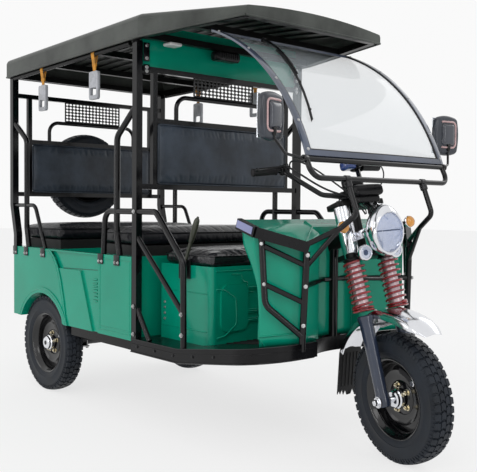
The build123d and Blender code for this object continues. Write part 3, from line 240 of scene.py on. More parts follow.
def glassFinish(name, colour, clear, rough=0.02):
    material, tree, shader = nodeMaterial(name)
    coords = tree.nodes.new("ShaderNodeTexCoord").outputs["Object"]
    cloud = texture(tree, "ShaderNodeTexNoise", 2.0, coords, Detail=3.0)
    tree.links.new(spread(tree, cloud.outputs["Fac"], rough, rough + 0.04), shader.inputs["Roughness"])
    shader.inputs["Base Color"].default_value = (*colour, 1)
    shader.inputs["Alpha"].default_value = 1 - clear
    shader.inputs["Coat Weight"].default_value = 0.3
    shader.inputs["IOR"].default_value = 1.45
    return material


paints = {
    "green": finish("bodyGreen", (0.001, 0.335, 0.212), 0.2, coat=0.12, patch=1.6, change=0.10, grain=0.03,
                    grainSize=260,
                    specular=0.28),
    "tube": finish("tubeBlack", (0.003, 0.003, 0.004), 0.12, patch=6, change=0.25, grain=0.03, grainSize=300,
                   specular=0.34),
    "frame": finish("frameBlack", (0.006, 0.006, 0.006), 0.3, patch=5, change=0.35, grain=0.12, grainSize=320,
                    specular=0.18),
    "floor": finish("floorBlack", (0.006, 0.006, 0.007), 0.24, patch=4, change=0.35, grain=0.15, grainSize=240,
                    specular=0.2),
    "plastic": finish("blackPlastic", (0.006, 0.006, 0.007), 0.26, patch=8, change=0.25, grain=0.15, grainSize=700,
                      specular=0.24),
    "roof": finish("roofShell", (0.060, 0.066, 0.060), 0.36, patch=3.2, change=0.42, grain=0.10, grainSize=420,
                   specular=0.25),
    "seat": finish("seatVinyl", (0.007, 0.007, 0.010), 0.28, patch=5, change=0.3, grain=0.35, grainSize=520,
                   specular=0.3,
                   wrinkle=0.12, wrinkleSize=6),
    "cover": finish("crumpledCover", (0.012, 0.012, 0.015), 0.24, patch=6, change=0.3, specular=0.6, wrinkle=1.0,
                    wrinkleSize=17),
    "back": finish("backrestVinyl", (0.038, 0.049, 0.066), 0.36, patch=5, change=0.42, grain=0.35, grainSize=520,
                   specular=0.35, wrinkle=0.35, wrinkleSize=9),
    "board": finish("seatBoard", (0.008, 0.008, 0.008), 0.5, patch=8, change=0.3, grain=0.1, grainSize=200,
                    specular=0.3),
    "chrome": finish("chromePlate", (0.74, 0.75, 0.78), 0.13, metal=1.0, patch=5, change=0.06, grain=0.02,
                     grainSize=60),
    "steel": finish("brightSteel", (0.5, 0.5, 0.5), 0.3, metal=1.0, patch=14, change=0.2, grain=0.1, grainSize=700),
    "brass": finish("brassNut", (0.60, 0.54, 0.40), 0.25, metal=1.0, patch=14, change=0.2, grain=0.1, grainSize=700),
    "darkSteel": finish("darkSteel", (0.03, 0.03, 0.032), 0.4, metal=0.6, patch=10, change=0.35, grain=0.2,
                        grainSize=380),
    "tyre": finish("tyreRubber", (0.016, 0.020, 0.027), 0.5, patch=9, change=0.3, grain=0.3, grainSize=420,
                   specular=0.22),
    "rubber": finish("softRubber", (0.010, 0.010, 0.011), 0.5, patch=9, change=0.25, grain=0.3, grainSize=500,
                     specular=0.35),
    "wheel": finish("wheelBlack", (0.005, 0.005, 0.006), 0.14, patch=6, change=0.3, grain=0.03, grainSize=300,
                    specular=0.6),
    "leg": finish("forkLegBlue", (0.022, 0.032, 0.060), 0.24, coat=0.4, patch=6, change=0.25, grain=0.03,
                  grainSize=260),
    # Pink-tinted half-metal for the fork's inner sliders: the pink is a painted reflection of the red springs on chrome
    "pinkPaintedReflection": finish("sliderPaintedPinkReflection", (0.62, 0.47, 0.50), 0.22, metal=0.45, patch=12, change=0.12),
    "spring": finish("springRed", (0.24, 0.008, 0.014), 0.22, coat=0.5, patch=30, change=0.25),
    "grille": finish("grilleMetal", (0.012, 0.012, 0.012), 0.25, patch=12, change=0.25, grain=0.2, grainSize=900,
                     specular=0.6),
    "trim": finish("screenTrim", (0.060, 0.076, 0.118), 0.16, coat=0.3, patch=4, change=0.3),
    "insert": finish("bandInsert", (0.26, 0.28, 0.50), 0.22, coat=0.4, patch=6, change=0.15),
    "amber": finish("amberLens", (0.72, 0.30, 0.03), 0.12, coat=0.8, patch=30, change=0.25, grain=0.4, grainSize=160),
    "red": finish("redLens", (0.45, 0.01, 0.012), 0.12, coat=0.8, patch=30, change=0.2, grain=0.4, grainSize=160),
    "strap": finish("orangeStrap", (0.56, 0.25, 0.03), 0.7, patch=30, change=0.25, grain=0.4, grainSize=900),
    "handle": finish("greyHandle", (0.40, 0.41, 0.44), 0.26, patch=12, change=0.2),
    "mirror": finish("mirrorFace", (0.75, 0.78, 0.82), 0.03, metal=1.0, patch=3, change=0.03),
    "mirrorCase": finish("mirrorCase", (0.030, 0.035, 0.046), 0.24, patch=7, change=0.3, grain=0.1, grainSize=700),
    "screen": glassFinish("screenGlass", (0.62, 0.68, 0.72), 0.74),
    "lens": glassFinish("lampGlass", (0.30, 0.45, 0.85), 0.82),
    "white": finish("whiteLamp", (0.8, 0.8, 0.8), 0.25, patch=12, change=0.05),
}

slotPaint = {
    "black_frame": "frame", "black_tube": "tube", "spring_steel": "darkSteel", "axle_grey": "darkSteel",
    "battery_case": "plastic", "black_floor": "floor", "green_paint": "green", "seat_board": "board",
    "black_vinyl": "seat", "backrest_vinyl": "back", "grille_metal": "grille", "roof_plastic": "roof",
    "screen": "screen", "fork_black": "leg", "red_spring": "spring", "chrome_trim": "chrome",
    "flap_rubber": "rubber", "grip_rubber": "rubber", "lamp_bowl": "chrome", "lamp_lens": "lens",
    "lamp_chrome": "chrome", "black_plastic": "plastic", "tyre_rubber": "tyre", "wheel_black": "wheel",
    "cable_rubber": "rubber", "handle_plastic": "handle", "lever_metal": "steel",
}


def dressNodes():
    slotOf = {part["node"]: part["material_slot"] for part in frame["record"]["subparts"]}
    for name, node in nodes.items():
        node.data.materials.clear()
        node.data.materials.append(paints[slotPaint[slotOf[name]]])


dressNodes()
print("finishes ready")


# Mesh tools. Every piece is drawn in millimetres and placed by a matrix.

def addPiece(name, bm, place, paint, body, slot=None, smoothAngle=35, stands=None):
    mesh = bpy.data.meshes.new(name)
    bm.normal_update()
    bm.to_mesh(mesh)
    bm.free()
    mesh.transform(place)
    if place.determinant() < 0:
        mesh.flip_normals()
    mesh.shade_smooth()
    mesh.set_sharp_from_angle(angle=math.radians(smoothAngle))
    piece = bpy.data.objects.new(name, mesh)
    bpy.context.scene.collection.objects.link(piece)
    piece.data.materials.append(paints[paint])
    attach(piece, body)
    if stands:
        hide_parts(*stands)
    return piece


def addPieces(place, body, rows):
    # rows: name, mesh, paint, slot, smoothing angle and the nodes it stands for
    for name, bm, paint, *rest in rows:
        addPiece(name, bm, place, paint, body, *rest)


def addBox(bm, low, high, bevel=0.0, steps=2, turn=None):
    size = [b - a for a, b in zip(low, high)]
    centre = Vector([(a + b) / 2 for a, b in zip(low, high)])
    part = bmesh.new()
    bmesh.ops.create_cube(part, size=1)
    bmesh.ops.scale(part, vec=size, verts=part.verts)
    if bevel:
        bmesh.ops.bevel(part, geom=part.edges[:], offset=bevel, segments=steps, affect="EDGES", profile=0.6)
    if turn:
        bmesh.ops.transform(part, matrix=turn, verts=part.verts)
    bmesh.ops.translate(part, vec=centre, verts=part.verts)
    joinInto(bm, part)


def joinInto(bm, part):
    keep = bpy.data.meshes.new("joining")
    part.to_mesh(keep)
    part.free()
    bm.from_mesh(keep)
    bpy.data.meshes.remove(keep)


def ringFaces(bm, rings, closedAlong=False, caps=True):
    count = len(rings[0])
    pairs = list(zip(rings, rings[1:]))
    if closedAlong:
        pairs.append((rings[-1], rings[0]))
    for near, far in pairs:
        for i in range(count):
            j = (i + 1) % count
            bm.faces.new((near[i], near[j], far[j], far[i]))
    if caps and not closedAlong:
        bm.faces.new(list(reversed(rings[0])))
        bm.faces.new(rings[-1])


def addLathe(bm, profile, place=Matrix.Identity(4), steps=48, closed=False):
    rings = []
    for i in range(steps):
        turn = 2 * math.pi * i / steps
        rings.append([bm.verts.new(place @ Vector((r * math.cos(turn), h, r * math.sin(turn)))) for r, h in profile])
    for near, far in zip(rings, rings[1:] + rings[:1]):
        last = len(profile) if closed else len(profile) - 1
        for k in range(last):
            m = (k + 1) % len(profile)
            quad = [near[k], near[m], far[m], far[k]]
            distinct = []
            for vert in quad:
                if not any((vert.co - other.co).length < 1e-6 for other in distinct):
                    distinct.append(vert)
            if len(distinct) > 2:
                bm.faces.new(distinct)
    bmesh.ops.remove_doubles(bm, verts=[v for ring in rings for v in ring], dist=1e-4)


def roundedPath(points, bend, steps=6):
    points = [Vector(p) for p in points]
    bends = bend if isinstance(bend, (list, tuple)) else [bend] * (len(points) - 2)
    path = [points[0]]
    for before, corner, after, radius in zip(points, points[1:], points[2:], bends):
        into = (corner - before).normalized()
        out = (after - corner).normalized()
        angle = into.angle(out)
        if angle < 0.01 or radius <= 0:
            path.append(corner)
            continue
        back = radius * math.tan(angle / 2)
        start = corner - into * back
        axis = into.cross(out).normalized()
        centre = start + axis.cross(into) * radius
        for k in range(steps + 1):
            path.append(centre + Matrix.Rotation(angle * k / steps, 3, axis) @ (start - centre))
    path.append(points[-1])
    return path


def addSweep(bm, path, radius, sides=14, closed=False, section=None, caps=True):
    count = len(path)
    rings = []
    up = None
    for i, point in enumerate(path):
        if closed:
            along = path[(i + 1) % count] - path[i - 1]
        else:
            along = path[min(i + 1, count - 1)] - path[max(i - 1, 0)]
        along.normalize()
        if up is None:
            up = along.orthogonal().normalized() if section is None else section[0]
        up = (up - along * up.dot(along)).normalized()
        side = along.cross(up)
        size = radius(i / (count - 1)) if callable(radius) else radius
        if section is None:
            ring = [(size * math.cos(2 * math.pi * k / sides),
                     size * math.sin(2 * math.pi * k / sides)) for k in range(sides)]
        else:
            ring = section[1]
        rings.append([bm.verts.new(point + up * a + side * b) for a, b in ring])
    ringFaces(bm, rings, closedAlong=closed, caps=caps)


def addTube(bm, points, radius, bend=0.0, sides=14, steps=6, closed=False):
    addSweep(bm, roundedPath(points, bend, steps), radius, sides, closed)


def addRod(bm, start, end, radius, sides=18, bevel=0.0):
    start, end = Vector(start), Vector(end)
    axis = (end - start).normalized()
    if bevel:
        path = [start, start + axis * bevel, end - axis * bevel, end]
        sizes = [radius - bevel, radius, radius, radius - bevel]
        up = axis.orthogonal().normalized()
        side = axis.cross(up)
        rings = []
        for point, size in zip(path, sizes):
            ring = []
            for k in range(sides):
                turn = 2 * math.pi * k / sides
                ring.append(bm.verts.new(point + up * size * math.cos(turn) + side * size * math.sin(turn)))
            rings.append(ring)
        ringFaces(bm, rings)
    else:
        addSweep(bm, [start, end], radius, sides)


def addBolt(bm, place, normal, radius, height=4.0):
    normal = Vector(normal).normalized()
    place = Vector(place)
    addRod(bm, place - normal * 1.0, place + normal * 1.2, radius * 1.45, 14, 0.5)
    addSweep(bm, [place + normal * 1.0, place + normal * height], radius, 6)


def addTurned(bm, start, axis, profile, steps=32):
    # profile: (distance along the axis, radius)
    axis = Vector(axis).normalized()
    side = axis.orthogonal().normalized()
    over = axis.cross(side)
    rings = []
    for along, radius in profile:
        ring = []
        for k in range(steps):
            turn = 2 * math.pi * k / steps
            out = side * math.cos(turn) + over * math.sin(turn)
            ring.append(bm.verts.new(Vector(start) + axis * along + out * radius))
        rings.append(ring)
    ringFaces(bm, rings)


print("tools ready")


# Tyres, with a lathed carcass and herringbone blocks

tyreShape = {"pitches": 46, "ribs": 92, "sideSteps": 96, "treadBase": 257.0, "treadTop": 264.4}


def carcassProfile():
    half = [(158.5, 39), (165, 41), (172, 45), (184, 48.3), (189, 48.6), (190.5, 50), (194, 50), (196, 49.2),
            (212, 49.8), (228, 48.4), (231, 49.4), (235, 48.8), (244, 45), (252, 38), (256, 26), (257.4, 12),
            (257.8, 0)]
    return half + [(r, -h) for r, h in reversed(half[:-1])]


def addBlock(bm, corners, low, high):
    # corners: (angle, offset) pairs, ordered round the block
    lower = [bm.verts.new((low(y) * math.cos(t), y, low(y) * math.sin(t))) for t, y in corners]
    centreT = sum(t for t, _ in corners) / len(corners)
    centreY = sum(y for _, y in corners) / len(corners)
    upper = []
    for t, y in corners:
        t2, y2 = centreT + (t - centreT) * 0.9, centreY + (y - centreY) * 0.93
        upper.append(bm.verts.new((high(y2) * math.cos(t2), y2, high(y2) * math.sin(t2))))
    count = len(corners)
    for i in range(count):
        j = (i + 1) % count
        bm.faces.new((lower[i], lower[j], upper[j], upper[i]))
    bm.faces.new(upper)
    bm.faces.new(list(reversed(lower)))


def crownHeight(top):
    return lambda y: top - 8.6 * (abs(y) / 50) ** 2.2


def addTyre(name, place, body, node):
    bm = bmesh.new()
    addLathe(bm, carcassProfile(), steps=tyreShape["sideSteps"])
    base, crest = crownHeight(tyreShape["treadBase"] - 3), crownHeight(tyreShape["treadTop"])
    pitch = 2 * math.pi / tyreShape["pitches"]
    for i in range(tyreShape["pitches"]):
        start = i * pitch
        for side in (-1, 1):
            half = start + (0.5 * pitch if side > 0 else 0)
            inner = [(half + pitch * 0.04, side * 0.6), (half + pitch * 0.86, side * 0.6),
                     (half + pitch * 1.06, side * 11),
                     (half + pitch * 0.90, side * 22), (half + pitch * 0.10, side * 22),
                     (half + pitch * 0.24, side * 11)]
            addBlock(bm, inner, base, crest)
            outer = [(half - pitch * 0.02, side * 24), (half + pitch * 0.78, side * 24),
                     (half + pitch * 0.90, side * 36),
                     (half + pitch * 0.82, side * 45), (half + pitch * 0.06, side * 45),
                     (half + pitch * 0.10, side * 35)]
            addBlock(bm, outer, base, crest)
    for i in range(tyreShape["ribs"]):
        for side in (-1, 1):
            start = 2 * math.pi * i / tyreShape["ribs"]
            low, high = [], []
            for t in (start, start + pitch * 0.22):
                for r, y in ((249, 44.6), (236, 49.0)):
                    low.append(bm.verts.new((r * math.cos(t), side * (y - 3), r * math.sin(t))))
                    high.append(bm.verts.new((r * math.cos(t), side * min(50.0, y + 1.2), r * math.sin(t))))
            order = (0, 1, 3, 2)
            bm.faces.new([high[k] for k in order])
            for k, m in zip(order, order[1:] + order[:1]):
                bm.faces.new((low[k], low[m], high[m], high[k]))
    bmesh.ops.recalc_face_normals(bm, faces=bm.faces[:])
    return addPiece(name, bm, place, "tyre", body, "tyre_rubber", 32, [node])


# Pressed wheels with hub, drum, studs and a valve

wheelShape = {"steps": 64, "studs": 5, "studRing": 52.0}


def addWheel(name, place, body, node, facing):
    # The disc looks to the side of the hub that facing gives
    s = facing
    bm = bmesh.new()
    rim = [(163.6, 43.6), (165.2, 42.6), (164.2, 40.6), (157.6, 39.6), (156.6, 30), (150, 26), (143, 14), (143, -12),
           (150, -26), (156.6, -30), (157.6, -39.6), (164.2, -40.6), (165.2, -42.6), (163.6, -43.6), (160, -42.4),
           (153, -36), (151, -31), (146, -27), (139, -13), (139, 13), (146, 27), (151, 31), (153, 36), (160, 42.4)]
    addLathe(bm, [(r, s * h) for r, h in rim], steps=wheelShape["steps"], closed=True)
    disc = [(139.5, -10), (139.5, -5), (128, -2), (112, 2), (100, -4), (84, -8), (66, -6), (60, -12), (84, -14),
            (100, -10), (112, -4), (128, -8)]
    addLathe(bm, [(r, s * h) for r, h in disc], steps=wheelShape["steps"], closed=True)
    hub = [(0, 30), (14, 30), (16, 28), (17, 16), (30, 14), (34, 10), (36, 2), (64, -1), (70, -5), (72, -12), (0, -12)]
    bmHub = bmesh.new()
    addLathe(bmHub, [(r, s * h) for r, h in hub], steps=48)
    joinInto(bm, bmHub)
    nuts, shiny = bmesh.new(), bmesh.new()
    for i in range(wheelShape["studs"]):
        turn = 2 * math.pi * i / wheelShape["studs"] + 0.3
        x, z = wheelShape["studRing"] * math.cos(turn), wheelShape["studRing"] * math.sin(turn)
        addBolt(nuts, (x, s * 0.5, z), (0, s, 0), 9.5, 12)
        addRod(nuts, (x, s * 8, z), (x, s * 18, z), 5, 10, 0.8)
    bmesh.ops.recalc_face_normals(bm, faces=bm.faces[:])
    wheel = addPiece(name, bm, place, "wheel", body, "wheel_black", 32, [node])
    addPiece(name + "Nuts", nuts, place, "brass", body, "wheel_black", 32)
    addTurned(shiny, (0, s * 12, 0), (0, s, 0), [(0, 40), (3, 41.5), (14, 41), (18, 36), (27, 34.5), (32, 29),
                                                 (33, 16)], 40)
    strapEnd = (118 * math.cos(0.42), s * 12, 118 * math.sin(0.42))
    section = (Vector((0, 1, 0)), [(4, 11), (4, -11), (-4, -11), (-4, 11)])
    strap = bmesh.new()
    addSweep(strap, [Vector((118 * math.cos(t), s * 12, 118 * math.sin(t))) for t in (0.50, 0.62, 0.74, 0.86, 0.98,
            1.10)], 1, section=section)
    addRod(strap, (118 * math.cos(1.10), s * 2, 118 * math.sin(1.10)),
           (118 * math.cos(1.10), s * 15, 118 * math.sin(1.10)), 11, 20, 2)
    addPiece(name + "Strap", strap, place, "darkSteel", body, "wheel_black", 32)
    addRod(shiny, (strapEnd[0], s * 3, strapEnd[2]), (strapEnd[0], s * 17, strapEnd[2]), 12, 20, 2)
    addTurned(shiny, (118, s * 4, 58), (0.8, s * 0.5, 0.35),
              [(0, 6), (6, 6), (8, 4.5), (26, 4.5), (28, 6), (34, 6), (36, 4)], 14)
    addPiece(name + "Hub", shiny, place, "chrome", body, "wheel_black", 32)
    drum = bmesh.new()
    addLathe(drum, [(60, -s * 12), (92, -s * 13), (96, -s * 17), (96, -s * 33), (90, -s * 34), (20, -s * 34)], steps=48)
    bmesh.ops.recalc_face_normals(drum, faces=drum.faces[:])
    addPiece(name + "Drum", drum, place, "darkSteel", body, "wheel_black", 32)
    return wheel


spareTurn = Matrix.Rotation(math.radians(90), 4, "Z")
spareSpot = {"x": -1429.0, "z": 1215.0}
spareHub = fixed @ Matrix.Translation((spareSpot["x"], 0, spareSpot["z"])) @ spareTurn

addTyre("frontTyre", frontHub, "front_wheel", "front_tyre")
addTyre("rearRightTyre", rearHub(-1), "rear_right_wheel", "rear_right_tyre")
addTyre("rearLeftTyre", rearHub(1), "rear_left_wheel", "rear_left_tyre")
addTyre("spareTyre", spareHub, "vehicle", "spare_tyre")
addWheel("frontWheel", frontHub, "front_wheel", "front_wheel", -1)
addWheel("rearRightWheel", rearHub(-1), "rear_right_wheel", "rear_right_wheel", -1)
addWheel("rearLeftWheel", rearHub(1), "rear_left_wheel", "rear_left_wheel", 1)
addWheel("spareWheel", spareHub, "vehicle", "spare_wheel", 1)
print("wheels ready")

# Seats and backrests, sewn covers over foam

padShape = {"pressure": 4.0, "frames": 20, "voxel": 0.008, "piping": 3.2, "slack": -0.010}


def softCoords(half, radius, count):
    edge = [half - radius * k / 3 for k in range(4)]
    inner = half - radius
    middle = [-inner + 2 * inner * (i + 1) / count for i in range(count - 1)]
    return [-value for value in edge] + middle + list(reversed(edge))


def addSoftBox(bm, low, high, radius, counts, shape=None):
    half = [(b - a) / 2 for a, b in zip(low, high)]
    centre = Vector([(a + b) / 2 for a, b in zip(low, high)])
    part = bmesh.new()
    for axis, (u, v) in enumerate(((1, 2), (2, 0), (0, 1))):
        us, vs = softCoords(half[u], radius, counts[u]), softCoords(half[v], radius, counts[v])
        for sign in (-1, 1):
            grid = []
            for a in us:
                row = []
                for b in vs:
                    point = [0, 0, 0]
                    point[axis], point[u], point[v] = sign * half[axis], a, b
                    core = Vector([max(radius - h, min(h - radius, c)) for c, h in zip(point, half)])
                    away = Vector(point) - core
                    point = core + away.normalized() * radius
                    if shape:
                        point = shape(point, half)
                    row.append(part.verts.new(point + centre))
                grid.append(row)
            for i in range(len(us) - 1):
                for j in range(len(vs) - 1):
                    quad = [grid[i][j], grid[i + 1][j], grid[i + 1][j + 1], grid[i][j + 1]]
                    part.faces.new(quad if sign > 0 else list(reversed(quad)))
    bmesh.ops.remove_doubles(part, verts=part.verts[:], dist=0.01)
    joinInto(bm, part)


def crowned(axis, rise, pull, both=False):
    # Lifts the face across one axis into a crown and draws the sides in between corners
    def shape(point, half):
        others = [k for k in range(3) if k != axis]
        u, v = (point[k] / half[k] for k in others)
        lift = rise * (1 - abs(u) ** 2.6) * (1 - abs(v) ** 2.6)
        height = point[axis] / half[axis]
        out = point.copy()
        if height > 0.2 or both:
            out[axis] += lift * (height if both else (height - 0.2) / 0.8)
        for k, other in ((others[0], v), (others[1], u)):
            out[k] -= pull * (1 - other ** 2) * point[k] / half[k] * (1 - 0.4 * abs(height))
        return out
    return shape


def settleCover(piece, held, cap):
    scene = bpy.context.scene
    remesh = piece.modifiers.new("even", "REMESH")
    remesh.mode = "VOXEL"
    remesh.voxel_size = padShape["voxel"]
    bakeModifiers(piece)
    start = [vertex.co.copy() for vertex in piece.data.vertices]
    group = piece.vertex_groups.new(name="held")
    group.add([vertex.index for vertex in piece.data.vertices if held(vertex.co)], 1.0, "REPLACE")
    cloth = piece.modifiers.new("cover", "CLOTH")
    cloth.settings.quality = 4
    cloth.settings.mass = 0.25
    cloth.settings.use_pressure = True
    cloth.settings.uniform_pressure_force = padShape["pressure"]
    cloth.settings.shrink_min = padShape["slack"]
    cloth.settings.vertex_group_mass = "held"
    cloth.settings.effector_weights.gravity = 0.0
    cloth.point_cache.frame_start = 1
    cloth.point_cache.frame_end = padShape["frames"]
    for step in range(1, padShape["frames"] + 1):
        scene.frame_set(step)
    bakeModifiers(piece)
    for vertex, origin in zip(piece.data.vertices, start):
        move = vertex.co - origin
        if move.length > cap:
            vertex.co = origin + move * (cap / move.length)
    scene.frame_set(1)


def bakeModifiers(piece):
    graph = bpy.context.evaluated_depsgraph_get()
    mesh = bpy.data.meshes.new_from_object(piece.evaluated_get(graph))
    piece.modifiers.clear()
    piece.data = mesh


def loopPath(half, corner, lift, axis, centre, steps=6):
    # Rounded rectangle across one axis, at a height along it
    u, v = [k for k in range(3) if k != axis]
    path = []
    for quarter in range(4):
        turn = quarter * math.pi / 2
        cu = (half[u] - corner) * (1 if quarter in (0, 3) else -1)
        cv = (half[v] - corner) * (1 if quarter in (0, 1) else -1)
        for k in range(steps + 1):
            angle = turn + math.pi / 2 * k / steps
            point = [0, 0, 0]
            point[u], point[v], point[axis] = cu + corner * math.cos(angle), cv + corner * math.sin(angle), lift
            path.append(Vector(point) + centre)
    return path


pads = {
    "rearSeat": {"node": "rear_seat_cushion", "low": (-1287, -487, 841), "high": (-853, 487, 913), "axis": 2,
                 "corner": 26, "rise": 8, "paint": "seat", "slot": "black_vinyl", "seams": (22,), "cap": 0.011,
                 "counts": (10, 22, 2), "fill": 0.75, "both": False},
    "middleSeat": {"node": "middle_seat_cushion", "low": (-408, -487, 841), "high": (-79, 487, 913), "axis": 2,
                   "corner": 26, "rise": 8, "paint": "seat", "slot": "black_vinyl", "seams": (22,), "cap": 0.011,
                   "counts": (8, 22, 2), "fill": 0.75, "both": False},
    "driverSeat": {"node": "driver_seat_cushion", "low": (-5, -397, 763), "high": (357, 397, 822), "axis": 2,
                   "corner": 24, "rise": 8, "paint": "cover", "slot": "black_vinyl", "seams": (16,), "cap": 0.012,
                   "counts": (8, 18, 2), "fill": 0.7, "both": False},
    "rearBackrest": {"node": "rear_backrest", "low": (-1344, -416, 1108), "high": (-1312, 416, 1389), "axis": 0,
                     "corner": 13, "rise": 4, "paint": "back", "slot": "backrest_vinyl", "seams": (10, -10),
                     "cap": 0.005, "counts": (2, 20, 7), "fill": 0.85, "both": True},
    "middleBackrest": {"node": "middle_backrest", "low": (-60, -416, 1135), "high": (-28, 416, 1416), "axis": 0,
                       "corner": 13, "rise": 4, "paint": "back", "slot": "backrest_vinyl", "seams": (10, -10),
                       "cap": 0.005, "counts": (2, 20, 7), "fill": 0.85, "both": True},
}


def makePad(name, plan):
    low, high, axis = plan["low"], plan["high"], plan["axis"]
    half = [(b - a) / 2 for a, b in zip(low, high)]
    centre = Vector([(a + b) / 2 for a, b in zip(low, high)])
    bm = bmesh.new()
    addSoftBox(bm, low, high, plan["corner"], plan["counts"], crowned(axis, plan["rise"], 3.0, plan["both"]))
    piece = addPiece(name, bm, fixed, plan["paint"], "vehicle", plan["slot"], 60, [plan["node"]])
    seamOffsets = [Vector([seam if k == axis else 0 for k in range(3)]) for seam in plan["seams"]]
    seamLevels = [(fixed @ (centre + offset))[axis] for offset in seamOffsets]
    floorLevel = (fixed @ Vector(low))[axis] + 0.004

    def held(point):
        nearSeam = any(abs(point[axis] - level) < 0.005 for level in seamLevels)
        return nearSeam or (not plan["both"] and point[axis] < floorLevel)

    settleCover(piece, held, plan["cap"])
    piece.data.shade_smooth()
    soften = piece.modifiers.new("soft", "SUBSURF")
    soften.levels = soften.render_levels = 1
    piping = bmesh.new()
    for seam in plan["seams"]:
        path = loopPath(half, plan["corner"], seam, axis, centre)
        addSweep(piping, path, padShape["piping"], 8, closed=True)
    addPiece(name + "Piping", piping, fixed, plan["paint"], "vehicle", plan["slot"], 60)


for padName, padPlan in pads.items():
    makePad(padName, padPlan)
print("seats ready")


# Front fork with its coil springs, in the steering frame

fork = {"ahead": 45.0, "side": 88.0, "springLow": 362.0, "springHigh": 578.0, "wire": 4.9, "coil": 40.5, "turns": 8.5,
        "crownLow": 586.0, "crownHigh": 806.0, "crownDepth": 22.0}


def addPlate(bm, outline, low, high, bevel=2.0, turn=None):
    part = bmesh.new()
    bottom = [part.verts.new((x, y, low)) for x, y in outline]
    part.faces.new(bottom)
    grown = bmesh.ops.extrude_face_region(part, geom=part.faces[:])
    bmesh.ops.translate(part, vec=(0, 0, high - low),
                        verts=[v for v in grown["geom"] if isinstance(v, bmesh.types.BMVert)])
    bmesh.ops.recalc_face_normals(part, faces=part.faces[:])
    if bevel:
        bmesh.ops.bevel(part, geom=part.edges[:], offset=bevel, segments=2, affect="EDGES", profile=0.6)
    if turn:
        bmesh.ops.transform(part, matrix=turn, verts=part.verts)
    joinInto(bm, part)


def roundedOutline(low, high, corner, steps=6):
    path = []
    for quarter in range(4):
        cx = high[0] - corner if quarter in (0, 3) else low[0] + corner
        cy = high[1] - corner if quarter in (0, 1) else low[1] + corner
        for k in range(steps + 1):
            angle = quarter * math.pi / 2 + math.pi / 2 * k / steps
            path.append((cx + corner * math.cos(angle), cy + corner * math.sin(angle)))
    return path


def makeFork():
    ahead, side = fork["ahead"], fork["side"]
    legs, bright, dark = bmesh.new(), bmesh.new(), bmesh.new()
    for sign in (-1, 1):
        y = sign * side
        addTurned(legs, (ahead, y, -24), (0, 0, 1),
                  [(0, 20), (2, 26), (8, 29), (46, 29), (58, 26.5), (90, 26), (300, 28), (340, 29), (352, 33),
                   (366, 34), (370, 31)])
        addTurned(bright, (ahead, y, fork["springHigh"]), (0, 0, 1), [(0, 30), (1, 34), (60, 35), (226, 35), (228, 33)])
        addTurned(bright, (ahead, y, fork["crownHigh"] + 20), (0, 0, 1), [(0, 20), (4, 20), (6, 17), (9, 16), (11, 10)],
                  24)
        addTurned(dark, (ahead, y, fork["springHigh"] - 4), (0, 0, 1), [(0, 34), (2, 40), (6, 40), (8, 36), (14, 34)])
        addTurned(bright, (ahead, sign * (side + 26), 0), (0, sign, 0),
                  [(0, 20), (3, 21), (6, 20), (6.5, 13), (20, 12.5), (22, 9)], 6)
        addTurned(bright, (ahead, sign * (side + 24), 0), (0, sign, 0), [(0, 23), (5, 23)], 24)
        for s in (18, 56):
            addBolt(dark, (ahead - 27, y, s - 26), (-1, 0, 0), 6, 8)
    addTurned(dark, (0, 0, fork["crownLow"]), (0, 0, 1), [(0, 15), (fork["crownHigh"] - fork["crownLow"], 15)], 24)
    for s in (fork["crownLow"], fork["crownHigh"]):
        addPlate(dark, roundedOutline((-28, -side - 34), (ahead + 34, side + 34), 24), s, s + fork["crownDepth"], 4)
    addTurned(dark, (0, 0, fork["crownHigh"] + 22), (0, 0, 1), [(0, 20), (3, 21), (9, 20), (10, 12), (13, 8)], 6)
    addTurned(bright, (ahead, -side - 20, 0), (0, 1, 0), [(0, 12), (2 * side + 40, 12)], 20)
    addPieces(steered, "steering", (
        ("forkLegs", legs, "leg", "fork_black", 35, ["fork"]),
        ("forkCovers", bright, "chrome", "fork_black", 35),
        ("forkCrowns", dark, "frame", "fork_black", 35)))


def makeSprings():
    ahead, side = fork["ahead"], fork["side"]
    coils, tubes = bmesh.new(), bmesh.new()
    low, high = fork["springLow"] + 19, fork["springHigh"] - 9
    steps = 26
    count = int(fork["turns"] * steps)
    for sign in (-1, 1):
        y = sign * side
        path = []
        for i in range(count + 1):
            share = i / count
            turn = 2 * math.pi * fork["turns"] * share + (0 if sign > 0 else math.pi)
            path.append(Vector((ahead + fork["coil"] * math.cos(turn), y + fork["coil"] * math.sin(turn),
                                low + (high - low) * share)))
        addSweep(coils, path, fork["wire"], 10)
        for s in (0, 10.5):
            addTurned(coils, (ahead, y, fork["springLow"] + 0.5 + s), (0, 0, 1),
                      [(0, 32), (0.5, 43), (3, 46), (6, 46), (8.5, 43), (9, 32)], 32)
        addTurned(tubes, (ahead, y, fork["springLow"] + 4), (0, 0, 1),
                  [(0, 27), (60, 27), (62, 29), (66, 29), (68, 27), (206, 27), (212, 22)], 28)
    # The sliders' pink finish is a painted reflection of the red springs
    addPieces(steered, "steering", (
        ("forkSprings", coils, "spring", "red_spring", 50, ["fork_springs"]),
        ("forkSliders", tubes, "pinkPaintedReflection", "red_spring", 35)))


makeFork()
makeSprings()


# Front mudguard, chromed, with strap stays and a cut rubber flap

fender = {"radius": 362.0, "half": 70.0, "front": 54.0, "rear": 155.0, "rake": 17.0, "steps": 36}


def polar(radius, angle, y):
    turn = math.radians(angle - fender["rake"])
    return Vector((fork["ahead"] + radius * math.cos(turn), y, radius * math.sin(turn)))


